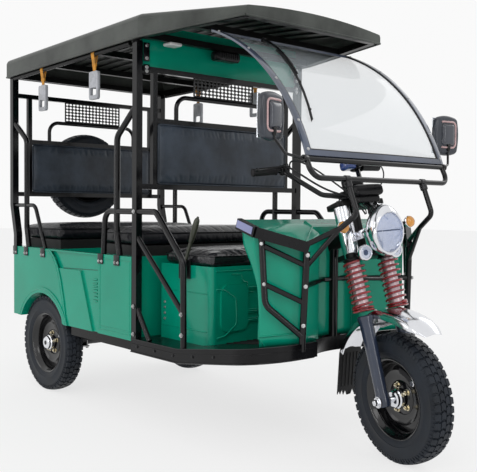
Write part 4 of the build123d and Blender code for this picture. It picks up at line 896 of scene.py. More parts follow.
def makeFender():
    crown = [(-70, 322), (-69.5, 334), (-67, 344), (-60, 351), (-48, 356), (-26, 360), (-9, 361.5), (0, 362)]
    section = crown + [(-y, r) for y, r in reversed(crown[:-1])]
    inside = [(y * 0.965, r - 2.6) for y, r in reversed(section)]
    bm = bmesh.new()
    rings = []
    for i in range(fender["steps"] + 1):
        share = i / fender["steps"]
        angle = fender["front"] + (fender["rear"] - fender["front"]) * share
        tip = max(0.0, 1 - share / 0.16)
        narrow = 1 - 0.42 * tip ** 2
        ring = []
        for y, r in section + inside:
            skirt = max(0.0, 352 - r)
            lift = skirt * min(1.0, tip * 0.9)
            legCut = 26 * max(0.0, 1 - abs(share - 0.46) / 0.12) if r < 352 else 0.0
            ring.append(bm.verts.new(polar(min(r + lift + legCut * 0.4, 361), angle, y * narrow)))
        rings.append(ring)
    ringFaces(bm, rings)
    bmesh.ops.recalc_face_normals(bm, faces=bm.faces[:])
    addPiece("frontFender", bm, steered, "chrome", "steering", "chrome_trim", 40, ["front_fender"])
    stays = bmesh.new()
    for sign in (-1, 1):
        addTube(stays, [(fork["ahead"] + 4, sign * 60, 302), polar(320, 128, sign * 64), polar(345, 126, sign * 60)], 5,
                14, 10)
        addTube(stays, [(fork["ahead"] + 6, sign * 60, 306), polar(322, 84, sign * 64), polar(344, 82, sign * 58)], 5,
                14, 10)
    for y in (-30, 30):
        addBolt(stays, polar(360, 107, y), polar(1, 107, 0) - polar(0, 107, 0), 6, 6)
    addBox(stays, (fork["ahead"] - 22, -58, 300), (fork["ahead"] + 22, 58, 312), 3)
    addBox(stays, (fork["ahead"] - 16, -40, 308), (fork["ahead"] + 16, 40, 358), 4)
    addPiece("fenderStays", stays, steered, "steel", "steering", "chrome_trim", 40)


def makeFlap():
    top = polar(fender["radius"] - 2, fender["rear"], 0)
    turn = Matrix.Translation(top) @ Matrix.Rotation(math.radians(fender["rake"] + 9), 4, "Y")
    teeth = [(-58, -212), (-50, -196), (-43, -214), (-34, -192), (-26, -218), (-16, -196), (-7, -221), (4, -194),
             (13, -219),
             (22, -196), (31, -216), (40, -198), (48, -213), (58, -200)]
    outline = [(-52, 4), (52, 4), (58, -20)] + [(y, z) for y, z in reversed(teeth)] + [(-58, -20)]
    bm = bmesh.new()
    front = [bm.verts.new(turn @ Vector((2.4, y, z))) for y, z in outline]
    back = [bm.verts.new(turn @ Vector((-2.4, y, z))) for y, z in outline]
    bm.faces.new(front)
    bm.faces.new(list(reversed(back)))
    for i in range(len(outline)):
        j = (i + 1) % len(outline)
        bm.faces.new((front[j], front[i], back[i], back[j]))
    bmesh.ops.triangulate(bm, faces=[f for f in bm.faces if len(f.verts) > 4])
    for y in (-36, -18, 0, 18, 36):
        addTube(bm, [turn @ Vector((3, y, -24)), turn @ Vector((3, y, -178))], 3, 0, 8)
    addBox(bm, (-4, -50, -6), (5, 50, 12), 1.5, turn=turn.to_3x3().to_4x4())
    bmesh.ops.recalc_face_normals(bm, faces=bm.faces[:])
    addPiece("mudFlap", bm, steered, "rubber", "steering", "flap_rubber", 35, ["mud_flap"])


makeFender()
makeFlap()
print("fork and mudguard ready")


# Lamps and turn signals

lampShape = {"place": (116.0, 0.0, 678.0), "lean": 17.0}
levelLamp = Matrix.Translation(lampShape["place"]) @ Matrix.Rotation(math.radians(lampShape["lean"]), 4, "Y")


def eggRing(bm, place, along, wide, tall, drop=0.0, steps=48):
    ring = []
    for k in range(steps):
        turn = 2 * math.pi * k / steps
        y, z = math.cos(turn), math.sin(turn)
        squeeze = 1 - 0.10 * max(0.0, z) ** 2 - 0.05 * max(0.0, -z) ** 2
        ring.append(bm.verts.new(place @ Vector((along, wide * y * squeeze, tall * z + drop))))
    return ring


def addEgg(bm, place, stations, caps=True, steps=48):
    ringFaces(bm, [eggRing(bm, place, *station, steps=steps) for station in stations], caps=caps)


def makeHeadlamp():
    bowl = bmesh.new()
    addEgg(bowl, levelLamp, [(-8, 20, 26, 0), (-2, 36, 46, 0), (12, 56, 74, 4), (30, 70, 93, 8), (50, 78, 103, 9),
                             (68, 80, 105, 7), (82, 79, 102, 4), (93, 75, 95, 1), (99, 71, 88, 0), (98, 67, 82, 0),
                             (90, 65, 80, 0)])
    for sign in (-1, 1):
        addBox(bowl, (56, sign * 60 - 4, 655), (165, sign * 60 + 4, 690), 2)
    addPiece("headlampBowl", bowl, steered, "chrome", "steering", "lamp_bowl", 35, ["headlamp"])
    lens = bmesh.new()
    addEgg(lens, levelLamp, [(90, 65, 80), (97, 64, 79), (103, 59, 73), (108, 47, 60), (111, 28, 37), (111.8, 10, 14)])
    addPiece("headlampLens", lens, steered, "lens", "steering", "lamp_lens", 60, ["headlamp_lens"])
    inside = bmesh.new()
    addEgg(inside, levelLamp, [(86.5, 60, 79), (80, 54, 71), (74, 40, 52), (71, 20, 26)])
    addPiece("headlampReflector", inside, steered, "lampUpper", "steering", "lamp_bowl", 40)
    eye = bmesh.new()
    for z, size in ((-22, 30), (34, 19)):
        at = levelLamp @ Vector((72, 0, z))
        axis = levelLamp.to_3x3() @ Vector((1, 0, 0))
        addTurned(eye, at, axis, [(0, size), (8, size), (10, size - 2), (10.5, size - 5), (15, size * 0.6),
                                  (17, size * 0.25)], 32)
    addPiece("headlampProjectors", eye, steered, "lampDeep", "steering", "lamp_lens", 40)
    bar = bmesh.new()
    addBox(bar, (88, -58, 5), (93, 58, 10), 1)
    bmesh.ops.transform(bar, matrix=levelLamp, verts=bar.verts)
    for sign in (-1, 1):
        at = levelLamp @ Vector((60, sign * 73, 10))
        addBolt(bar, at, levelLamp.to_3x3() @ Vector((0, sign, 0)), 7, 8)
    addPiece("headlampBar", bar, steered, "plastic", "steering", "lamp_bowl", 35)


def makeFrontLamps():
    rings, dark, glass, amber, housing = (bmesh.new() for _ in range(5))
    ahead, side = fork["ahead"], fork["side"]
    for sign in (-1, 1):
        axis = Vector((26, 0, -6)).normalized()
        at = Vector((104, sign * 78, 597))
        addTurned(rings, at, axis, [(0, 16), (3, 24), (9, 30), (18, 33), (25, 33), (28, 30.5), (28, 25), (25, 23.5)],
                  36)
        addTurned(dark, at + axis * 20, axis, [(0, 24), (4, 24), (5, 12), (5.2, 4)], 24)
        addTurned(glass, at + axis * 24, axis, [(0, 24.5), (3, 23), (6, 15), (7, 5)], 28)
        addTurned(dark, at - axis * 24, axis, [(0, 9), (22, 9), (26, 14)], 20)
        addRod(dark, (ahead + 20, sign * side, 597), (at - axis * 12), 8, 14)
        stalkStart, stalkEnd = Vector((ahead + 24, sign * (side + 10), 690)), Vector((140, sign * 150, 700))
        addTube(dark, [stalkStart, (112, sign * 120, 694), stalkEnd], 6.5, 14, 12)
        out = Vector((1, sign * 0.18, -0.1)).normalized()
        core = Vector((130, sign * 168, 702))
        addTurned(housing, core - out * 8, out, [(0, 8), (2, 16), (8, 22), (16, 25), (20, 25.5), (22, 24)], 28)
        addTurned(amber, core + out * 13, out, [(0, 24), (4, 24), (10, 21), (16, 14), (19, 5)], 28)
    addPieces(steered, "steering", (
        ("signalHousings", housing, "chrome", "lamp_chrome", 35, ["front_lamps"]),
        ("signalLenses", amber, "amber", "lamp_chrome", 35),
        ("spotRings", rings, "chrome", "lamp_chrome", 35),
        ("spotGlass", glass, "lens", "lamp_lens", 35),
        ("lampArms", dark, "plastic", "lamp_chrome", 35)))


paints["lampUpper"] = finish("lampReflector", (0.42, 0.56, 0.88), 0.2, metal=0.6, patch=20, change=0.2)
paints["lampDeep"] = finish("lampProjector", (0.02, 0.08, 0.45), 0.06, coat=1.0, patch=20, change=0.3)
makeHeadlamp()
makeFrontLamps()
print("lamps ready")

# Windscreen trim, wiper and the stays' clamps

screenShape = {"top": (385.0, 1782.0), "middle": (700.0, 1602.0), "foot": (957.0, 1225.0), "half": 434.0, "steps": 40}


def arcThrough(first, second, third):
    (ax, az), (bx, bz), (cx, cz) = first, second, third
    d = 2 * (ax * (bz - cz) + bx * (cz - az) + cx * (az - bz))
    ux = ((ax ** 2 + az ** 2) * (bz - cz) + (bx ** 2 + bz ** 2) * (cz - az) + (cx ** 2 + cz ** 2) * (az - bz)) / d
    uz = ((ax ** 2 + az ** 2) * (cx - bx) + (bx ** 2 + bz ** 2) * (ax - cx) + (cx ** 2 + cz ** 2) * (bx - ax)) / d
    return Vector((ux, 0, uz)), math.hypot(ax - ux, az - uz)


screenCentre, screenRadius = arcThrough(screenShape["top"], screenShape["middle"], screenShape["foot"])


def screenPoint(share, y, lift):
    (ax, az), (cx, cz) = screenShape["top"], screenShape["foot"]
    start = math.atan2(az - screenCentre.z, ax - screenCentre.x)
    end = math.atan2(cz - screenCentre.z, cx - screenCentre.x)
    turn = start + (end - start) * share
    reach = screenRadius + lift
    return screenCentre + Vector((reach * math.cos(turn), y, reach * math.sin(turn)))


def screenStrip(bm, y0, y1, low, high, start=0.0, end=1.0):
    rings = []
    for i in range(screenShape["steps"] + 1):
        share = start + (end - start) * i / screenShape["steps"]
        ring = [(y0, low), (y1, low), (y1, high), (y0 + (y1 - y0) * 0.5, high + 1.2), (y0, high)]
        rings.append([bm.verts.new(screenPoint(share, y, lift)) for y, lift in ring])
    ringFaces(bm, rings)


def makeScreenTrim():
    trim, seal = bmesh.new(), bmesh.new()
    for sign in (-1, 1):
        screenStrip(trim, sign * 438, sign * 409, -3, 6)
        screenStrip(seal, sign * 410, sign * 404, -1.5, 4.5)
    for share0, share1 in ((0.0, 0.03), (0.972, 1.0)):
        screenStrip(trim, -436, 436, -3.2, 6.2, share0, share1)
    screenStrip(seal, -410, 410, -1.4, 4.4, 0.965, 0.974)
    for piece in (trim, seal):
        bmesh.ops.recalc_face_normals(piece, faces=piece.faces[:])
    addPieces(fixed, "vehicle", (
        ("screenTrim", trim, "trim", "screen", 35),
        ("screenSeal", seal, "rubber", "screen", 35)))
    bolts = bmesh.new()
    for sign in (-1, 1):
        for share in (0.04, 0.30, 0.56, 0.82, 0.97):
            at = screenPoint(share, sign * 423, 6.5)
            addBolt(bolts, at, at - screenCentre - Vector((0, at.y, 0)), 4.5, 4)
    addPiece("screenBolts", bolts, fixed, "steel", "vehicle", "screen", 35)


wiperShape = {"pivot": (0.10, -205.0), "tip": (0.81, -345.0), "lift": 13.0}


def makeWiper():
    arm, blade = bmesh.new(), bmesh.new()
    (s0, y0), (s1, y1) = wiperShape["pivot"], wiperShape["tip"]
    path = [screenPoint(s0 + (s1 - s0) * k / 12, y0 + (y1 - y0) * k / 12,
                        wiperShape["lift"] + 5 * math.sin(math.pi * k / 12))
            for k in range(8)]
    addSweep(arm, path, lambda share: 6.5 - 2.5 * share, 10)
    pivot = screenPoint(s0, y0, 2)
    axis = (pivot - screenCentre - Vector((0, y0, 0))).normalized()
    addTurned(arm, pivot, axis, [(0, 13), (10, 13), (13, 11), (20, 10), (22, 7)], 20)
    along = [screenPoint(s0 + (s1 - s0) * share, y0 + (y1 - y0) * share, 9) for share in (0.22, 0.32, 0.43, 0.54, 0.65,
            0.76, 0.88, 1.0)]
    addSweep(blade, along, 4.5, 8)
    lower = [screenPoint(s0 + (s1 - s0) * share, y0 + (y1 - y0) * share, 4.2) for share in (0.21, 0.32, 0.43, 0.54,
            0.65, 0.76, 0.88, 1.01)]
    addSweep(blade, lower, 2.2, 6)
    for share in (0.40, 0.66, 0.92):
        at = screenPoint(s0 + (s1 - s0) * share, y0 + (y1 - y0) * share, 11)
        addRod(blade, at - axis * 4, at + axis * 5, 5, 10, 1)
    addPieces(fixed, "vehicle", (
        ("wiperArm", arm, "plastic", "black_plastic", 35, ["wiper"]),
        ("wiperBlade", blade, "rubber", "black_plastic", 35)))


loopTube = {"x": 957 + 72 * 0.48, "z": 1225 - 11 - 1 - 72, "stay": 243.0}


def makeStayClamps():
    clamps = bmesh.new()
    for sign in (-1, 1):
        y = sign * loopTube["stay"]
        top = Vector((loopTube["x"], y, loopTube["z"]))
        down = (Vector((1046, y, 1005)) - top).normalized()
        addTurned(clamps, top + down * 9, down, [(0, 13), (3, 16), (24, 16), (27, 13)], 24)
        addTurned(clamps, top - Vector((0, 15, 0)), (0, 1, 0), [(0, 12.5), (2, 14.5), (28, 14.5), (30, 12.5)], 24)
        addBolt(clamps, top + down * 20 + Vector((0, -15, 0)), (0, -1, 0), 5, 8)
        addBolt(clamps, top + down * 30 + Vector((0, -15, 0)), (0, -1, 0), 4, 6)
    addPiece("stayClamps", clamps, fixed, "darkSteel", "vehicle", "black_tube", 35)


makeScreenTrim()
makeWiper()
makeStayClamps()


# Mirrors on bent stalks

mirrorShape = {"place": (888.0, -556.0, 1367.0), "turn": 12.0, "half": (17.0, 75.0, 92.5)}
mirrorSides = Matrix.Scale(-1, 4, (0, 1, 0))


def roundedFace(point, half):
    # Draws the corners of a soft box in, so that its outline is an upright oval
    u, v = point.y / half[1], point.z / half[2]
    out = point.copy()
    out.y *= 1 - 0.16 * v * v
    out.z *= 1 - 0.13 * u * u
    out.x += 2.0 * (1 - u * u) * (1 - v * v) * point.x / half[0]
    return out


def makeMirrors():
    housing, ring, centre, glass, stalk = (bmesh.new() for _ in range(5))
    hx, hy, hz = mirrorShape["half"]
    addSoftBox(housing, (-hx, -hy, -hz), (hx, hy, hz), 16.5, (2, 8, 10), roundedFace)
    # A C-shaped arc round the housing's rim, coloured pinkish white as a painted highlight
    loop = loopPath((0, 47, 59), 20, hx + 0.5, 0, Vector((0, 0, 4)))
    addSweep(ring, loop[4:24], 4.8, 10)
    addSoftBox(centre, (4, -38, -46), (hx + 7, 38, 54), 12, (2, 6, 7), crowned(0, 3, 2.0))
    addSoftBox(glass, (-hx - 1.5, -hy + 9, -hz + 9), (-hx + 4, hy - 9, hz - 9), 2.7, (1, 4, 4))
    place = fixed @ Matrix.Translation(mirrorShape["place"]) @ Matrix.Rotation(math.radians(mirrorShape["turn"]), 4,
            "Z")
    addTube(stalk, [(957, -449, 1212), (930, -520, 1230), (905, -556, 1290), (912, -556, 1330)], 5.5, 18, 12)
    addTurned(stalk, (957, -430, 1213), (0, -1, 0), [(0, 13), (3, 15), (22, 15), (25, 12)], 20)
    addTurned(stalk, (906, -556, 1296), (0.1, 0, 1), [(0, 8), (3, 10), (30, 9), (36, 6)], 16)
    for name, bm, paint, matrix, node in (
            ("mirrorHousing", housing, "mirrorCase", place, ["mirrors"]), ("mirrorHighlightArc", ring, "mirrorRimHighlight", place, None),
            ("mirrorCentre", centre, "mirrorBack", place, None), ("mirrorGlass", glass, "mirror", place, None),
            ("mirrorStalk", stalk, "tube", fixed, None)):
        twin = bm.copy()
        addPiece(name + "Right", bm, matrix, paint, "vehicle", "black_plastic", 40, node)
        addPiece(name + "Left", twin, fixed @ mirrorSides @ fixed.inverted() @ matrix, paint, "vehicle",
                 "black_plastic", 40)


# Pinkish-white colour of the mirror rim's arc: a painted highlight
paints["mirrorRimHighlight"] = finish("mirrorPaintedHighlight", (0.55, 0.36, 0.36), 0.3, coat=0.5, patch=20, change=0.15)
paints["mirrorBack"] = finish("mirrorCover", (0.035, 0.040, 0.055), 0.2, coat=0.6, patch=12, change=0.2)
makeMirrors()
print("screen and mirrors ready")


# Handlebar controls

barEnds = {"inner": Vector((-168, 205, 1046)), "outer": Vector((-186, 340, 1046))}


def makeControls():
    grip, switch, lever = bmesh.new(), bmesh.new(), bmesh.new()
    for sign in (-1, 1):
        inner = Vector((barEnds["inner"].x, sign * barEnds["inner"].y, barEnds["inner"].z))
        outer = Vector((barEnds["outer"].x, sign * barEnds["outer"].y, barEnds["outer"].z))
        along = (outer - inner).normalized()
        length = (outer - inner).length
        profile = [(25, 15), (26, 20), (29, 20), (31, 16)]
        steps = 16
        for k in range(steps):
            at = 32 + (length - 44) * k / steps
            profile += [(at, 16.4), (at + 1.6, 17.2), (at + 4.2, 17.2), (at + 5.6, 16.4)]
        profile += [(length - 7, 17), (length - 3, 18), (length + 3, 17), (length + 5, 12)]
        addTurned(grip, inner, along, profile, 28)
        side = Vector((1, 0, 0))
        addTurned(switch, inner - along * 34, along, [(0, 15), (3, 22), (12, 24), (36, 24), (40, 20), (42, 14)], 24)
        addBox(switch, inner - along * 24 + Vector((-10, -10, 12)), inner - along * 24 + Vector((10, 10, 27)), 3)
        for k in (-1, 0, 1):
            addRod(switch, inner - along * (16 + 9 * k) + Vector((-20, 0, 6)),
                   inner - along * (16 + 9 * k) + Vector((-28, 0, 8)), 3.4, 10, 0.8)
        perch = inner - along * 12 + side * 16
        addBox(switch, perch - Vector((10, 13, 9)), perch + Vector((24, 13, 9)), 4)
        knee = inner - along * 10 + Vector((46, 0, 2))
        tip = outer - along * 4 + Vector((40, 0, 0))
        section = (Vector((0, 0, 1)), [(6 * math.cos(a),
                                        3.4 * math.sin(a)) for a in [2 * math.pi * k / 10 for k in range(10)]])
        addSweep(lever, roundedPath([perch + side * 10, knee + Vector((4, 0, 0)), tip], 16, 5), 1, section=section)
        addTurned(lever, tip, along, [(-3, 4), (0, 7), (5, 8), (10, 6), (12, 2)], 14)
        addBolt(lever, perch + Vector((14, 0, 10)), (0, 0, 1), 5, 5)
    addPieces(steered, "steering", (
        ("grips", grip, "rubber", "grip_rubber", 40, ["grips"]),
        ("switchBlocks", switch, "plastic", "black_plastic", 40, ["levers"]),
        ("brakeLevers", lever, "tube", "lever_metal", 40)))


# Points of the construction's own routes, in the steering frame
routes = {
    "hose": {"points": [(-146, -196, 1034), (-80, -226, 1000), (-12, -208, 930), (8, -150, 872), (38, -105, 856),
                        (60, -68, 856)],
             "radius": 7.0},
    "brake": {"points": [(-118, -222, 1046), (-60, -250, 1010), (20, -236, 920), (44, -160, 850), (66, -68.5, 838)],
              "radius": 3.2},
    "loose": [[(-126, -214, 1040), (-60, -262, 1040), (24, -262, 980), (62, -190, 900), (70, -120, 862),
               (76, -66, 846)],
              [(-110, -196, 1050), (-40, -232, 1056), (44, -206, 1000), (84, -130, 910), (90, -66, 850)],
              [(-120, 196, 1050), (-50, 226, 1040), (30, 196, 960), (76, 120, 880), (84, 66, 848)]],
}


def routeCurve(name, points, radius, place, paint, body, stands=None):
    data = bpy.data.curves.new(name, "CURVE")
    data.dimensions = "3D"
    spline = data.splines.new("NURBS")
    spline.points.add(len(points) - 1)
    for point, spot in zip(spline.points, points):
        point.co = (*(place @ Vector(spot)), 1)
    spline.order_u = 3
    spline.use_endpoint_u = True
    spline.resolution_u = 14
    data.bevel_depth = radius / 1000
    data.bevel_resolution = 4
    data.use_fill_caps = True
    piece = bpy.data.objects.new(name, data)
    bpy.context.scene.collection.objects.link(piece)
    data.materials.append(paints[paint])
    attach(piece, body)
    if stands:
        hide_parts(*stands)
    return piece


def curveLine(piece):
    # The spline's own line, in metres, read from a copy with no bevel
    bare = bpy.data.objects.new("bareLine", piece.data.copy())
    bare.data.bevel_depth = 0
    bpy.context.scene.collection.objects.link(bare)
    bpy.context.view_layer.update()
    mesh = bpy.data.meshes.new_from_object(bare.evaluated_get(bpy.context.evaluated_depsgraph_get()))
    line = [vertex.co.copy() for vertex in mesh.vertices]
    bpy.data.meshes.remove(mesh)
    bpy.data.curves.remove(bare.data)
    return line


def evenly(line, gap):
    spots, carried = [], 0.0
    for near, far in zip(line, line[1:]):
        length = (far - near).length
        while carried <= length:
            spots.append((near.lerp(far, carried / length), (far - near).normalized()))
            carried += gap
        carried -= length
    return spots


def makeCables():
    hose = routeCurve("wiringHose", routes["hose"]["points"], routes["hose"]["radius"], steered, "rubber", "steering",
                      ["control_cables"])
    routeCurve("brakeCable", routes["brake"]["points"], routes["brake"]["radius"], steered, "rubber", "steering")
    for k, points in enumerate(routes["loose"]):
        routeCurve("looseCable%d" % k, points, 4.0 - k * 0.5, steered, "rubber", "steering")
    ribs = bmesh.new()
    for at, along in evenly(curveLine(hose), 0.0052):
        addTurned(ribs, at * 1000 - along * 1.3, along, [(0, 6.6), (0.5, 8.0), (2.1, 8.0), (2.6, 6.6)], 14)
    addPiece("hoseRibs", ribs, Matrix.Scale(0.001, 4), "rubber", "steering", "cable_rubber", 50)


instruments = {"low": (34, -74, 829), "high": (148, 74, 874), "wires": 9}


def makeInstruments():
    case, pod, dial = bmesh.new(), bmesh.new(), bmesh.new()
    addSoftBox(case, instruments["low"], instruments["high"], 16, (5, 6, 2), crowned(2, 6, 3.0))
    addBox(case, (-20, -18, 828), (60, 18, 838), 2)
    addSoftBox(case, (70, -60, 800), (128, 60, 832), 10, (3, 5, 2))
    for sign in (-1, 1):
        addTurned(case, (60, sign * 50, 872), (0, 0, 1), [(0, 16), (4, 17), (10, 15), (14, 10)], 20)
    addSoftBox(pod, (-196, 120, 1030), (-138, 196, 1080), 20, (3, 4, 3), crowned(0, 4, 3.0, True))
    addSoftBox(case, (20, -52, 884), (70, 40, 930), 14, (3, 5, 3), crowned(0, 4, 3.0, True))
    turn = Vector((-1, 0, 0.5)).normalized()
    addTurned(dial, Vector((24, -15, 908)), turn, [(0, 22), (4, 23), (6, 21), (6.4, 6)], 28)
    addRod(case, (38, -15, 872), (40, -15, 890), 9, 16, 2)
    addPieces(steered, "steering", (
        ("instrumentCase", case, "plastic", "black_plastic", 40, ["instrument_bracket"]),
        ("instrumentPod", pod, "pod", "black_plastic", 40),
        ("instrumentDial", dial, "white", "black_plastic", 40)))
    for k in range(instruments["wires"]):
        y = -54 + 108 * k / (instruments["wires"] - 1)
        start = Vector((random.uniform(80, 124), y, 806))
        end = Vector((random.uniform(122, 140), y * 0.7 + random.uniform(-8, 8), 752))
        middle = [start + Vector((random.uniform(14, 34), random.uniform(-20, 20), -16)),
                  end + Vector((random.uniform(4, 22), random.uniform(-18, 18), 18))]
        routeCurve("lampWire%d" % k, [start, *middle, end], random.choice((2.2, 2.8, 3.4)), steered, "rubber",
                   "steering")


paints["pod"] = finish("podBlue", (0.05, 0.09, 0.30), 0.15, coat=0.8, patch=16, change=0.35)
makeControls()
makeCables()
makeInstruments()
print("controls ready")


# Open-work panels, hand straps and the roof's fittings

upper = {"grilles": ((-1334.0, 1541.6), (-50.0, 1568.6)), "barLow": 1655.5,
         "half": 192.0, "pitch": 24.0, "rise": 19.0}


def makeGrilles():
    bm, edge = bmesh.new(), bmesh.new()
    pitch = upper["pitch"]
    for x, low in upper["grilles"]:
        high = upper["barLow"]
        rows = max(1, round((high - low) / upper["rise"]))
        columns = round(2 * upper["half"] / pitch)
        dy, dz = 2 * upper["half"] / columns, (high - low) / rows
        for i in range(columns):
            for j in range(rows):
                cy, cz = -upper["half"] + dy * (i + 0.5), low + dz * (j + 0.5)
                outerRing = [(cy + a * dy / 2, cz + b * dz / 2) for a,
                             b in ((1, 1), (0, 1), (-1, 1), (-1, 0), (-1, -1), (0, -1), (1, -1), (1, 0))]
                innerRing = [(cy + a * dy * 0.43, cz + b * dz * 0.43) for a,
                             b in ((0.56, 0.56), (0, 1), (-0.56, 0.56), (-1, 0), (-0.56, -0.56), (0, -1), (0.56, -0.56),
                                   (1, 0))]
                loops = []
                for lift in (0.9, -0.9):
                    loops.append(([bm.verts.new((x + lift, y, z)) for y, z in outerRing],
                                  [bm.verts.new((x + lift, y, z)) for y, z in innerRing]))
                (frontOut, frontIn), (backOut, backIn) = loops
                for k in range(8):
                    m = (k + 1) % 8
                    bm.faces.new((frontOut[k], frontOut[m], frontIn[m], frontIn[k]))
                    bm.faces.new((backOut[m], backOut[k], backIn[k], backIn[m]))
                    bm.faces.new((frontIn[k], frontIn[m], backIn[m], backIn[k]))
        corners = [Vector((x, a * upper["half"], z)) for a, z in ((-1, low), (1, low), (1, high), (-1, high))]
        for start, end in zip(corners, corners[1:] + corners[:1]):
            addRod(edge, start, end, 4.5, 8)
    bmesh.ops.remove_doubles(bm, verts=bm.verts[:], dist=0.01)
    bmesh.ops.recalc_face_normals(bm, faces=bm.faces[:])
    addPieces(fixed, "vehicle", (
        ("grilles", bm, "grille", "grille_metal", 30, ["mesh_panels"]),
        ("grilleEdges", edge, "tube", "black_tube", 30)))


def roofLow(x):
    if x < 4:
        return 1768 + 27 * (x + 1361) / 1365
    return 1795 + 19 * (x - 4) / 596


handShape = {"stations": (-950.0, -410.0), "side": 538.0, "drop": 85.0, "grip": 138.0}


def makeHandles():
    strap, grip, dark = bmesh.new(), bmesh.new(), bmesh.new()
    for x in handShape["stations"]:
        for sign in (-1, 1):
            y = sign * handShape["side"]
            rail = roofLow(x) - 8
            foot = rail - handShape["drop"] - 2
            for offset, lean in ((-4.5, 3), (4.5, -3)):
                path = [(x + lean, y + offset * 0.3, foot + 4), (x + lean * 0.4, y + offset * 0.8, foot + 34),
                        (x, y + offset * 2.4, rail - 10),
                        (x, y + offset * 2.7, rail + 2)]
                section = (Vector((1, 0, 0)), [(13, 1.2), (13, -1.2), (-13, -1.2), (-13, 1.2)])
                addSweep(strap, roundedPath(path, 24, 5), 1, section=section)
            over = [Vector((x, y + 12.0 * math.cos(a),
                            rail + 1 + 11.5 * math.sin(a))) for a in [math.pi * k / 10 for k in range(11)]]
            addSweep(strap, over, 1, section=section)
            addBox(strap, (x - 15, y - 6, foot + 26), (x + 15, y + 6, foot + 42), 3)
            grown = handShape["grip"]
            outline = roundedOutline((-40, -grown), (40, 0), 10)
            window = roundedOutline((-28, 20 - grown), (28, 58 - grown), 9)
            place = Matrix.Translation((x, y, foot + 2)) @ Matrix.Rotation(math.radians(90), 4, "X")
            addWindowPlate(grip, outline, window, 8.5, place)
            addBox(grip, (x - 24, y - 10.5, foot - 62), (x + 24, y + 10.5, foot - 12), 4)
            addRod(dark, (x - 18, y, foot + 1), (x + 18, y, foot + 1), 5, 12, 1)
            addRod(grip, (x - 30, y, foot + 12 - grown), (x + 30, y, foot + 12 - grown), 9.5, 16, 3)
    addPieces(fixed, "vehicle", (
        ("handStraps", strap, "strap", "handle_plastic", 40, ["hanging_handles"]),
        ("handGrips", grip, "handle", "handle_plastic", 35),
        ("handPins", dark, "steel", "handle_plastic", 35)))


def addWindowPlate(bm, outline, window, half, place):
    # A plate with one opening; both outlines run the same way with equal counts
    part = bmesh.new()
    loops = []
    for lift, inset in ((half, 1.5), (half - 1.5, 0), (-half + 1.5, 0), (-half, 1.5)):
        outerRing = [part.verts.new(place @ Vector((a * (1 - inset / 60), b * (1 - inset / 90), lift))) for a,
                     b in outline]
        innerRing = [part.verts.new(place @ Vector((a * (1 + inset / 40), b, lift))) for a, b in window]
        loops.append((outerRing, innerRing))
    count = len(outline)
    for k in range(count):
        m = (k + 1) % count
        part.faces.new((loops[0][0][k], loops[0][0][m], loops[0][1][m], loops[0][1][k]))
        part.faces.new((loops[-1][0][m], loops[-1][0][k], loops[-1][1][k], loops[-1][1][m]))
        for near, far in zip(loops, loops[1:]):
            part.faces.new((near[0][m], near[0][k], far[0][k], far[0][m]))
            part.faces.new((near[1][k], near[1][m], far[1][m], far[1][k]))
    bmesh.ops.recalc_face_normals(part, faces=part.faces[:])
    joinInto(bm, part)


def makeRoofFittings():
    edge, ribs, unit, dark, white = (bmesh.new() for _ in range(5))
    for sign in (-1, 1):
        path = [(-1360, sign * 560, roofLow(-1360) + 3), (4, sign * 560, roofLow(4) + 3),
                (598, sign * 431, roofLow(598) + 3)]
        addTube(edge, path, 5, 0, 10)
        crest = [(-1350, sign * 556, roofLow(-1361) + 76), (4, sign * 556, roofLow(4) + 80),
                 (594, sign * 427, roofLow(598) + 32)]
        addTube(edge, crest, 4.5, 0, 8)
    addTube(edge, [(-1360, -560, roofLow(-1360) + 3), (-1360, 560, roofLow(-1360) + 3)], 5, 0, 10)
    addTube(edge, [(598, -431, roofLow(598) + 3), (598, 431, roofLow(598) + 3)], 5, 0, 10)
    for y in range(-450, 451, 90):
        share = abs(y) / 524
        lift = 24 * (1 - share ** 2)
        path = [(-1350, y, roofLow(-1350) + 104 + lift - 8), (4, y, roofLow(4) + 108 + lift - 8)]
        if abs(y) < 400:
            path.append((590, y, roofLow(590) + 44 + lift - 10))
        addTube(ribs, path, 6, 0, 8)
    addSoftBox(unit, (-24, -118, roofLow(10) - 48), (44, 32, roofLow(10) - 1), 16, (4, 8, 3))
    for y in (-122, 26):
        addTurned(unit, (10, y, roofLow(10) - 25), (0, 1, 0), [(0, 17), (3, 21), (8, 21), (11, 17)], 24)
    for k in range(9):
        addBox(dark, (44, -104 + k * 14, roofLow(10) - 38), (46.5, -96 + k * 14, roofLow(10) - 12), 0.8)
    addSoftBox(white, (-22, -402, roofLow(10) - 17), (42, -333, roofLow(10) - 1), 7, (3, 3, 1))
    addPieces(fixed, "vehicle", (
        ("roofEdges", edge, "roof", "roof_plastic", 40),
        ("roofRibs", ribs, "frame", "roof_plastic", 40),
        ("cabinUnit", unit, "plastic", "black_plastic", 40, ["interior_unit"]),
        ("cabinUnitSlots", dark, "rubber", "black_plastic", 40),
        ("cabinLamp", white, "white", "black_plastic", 40)))


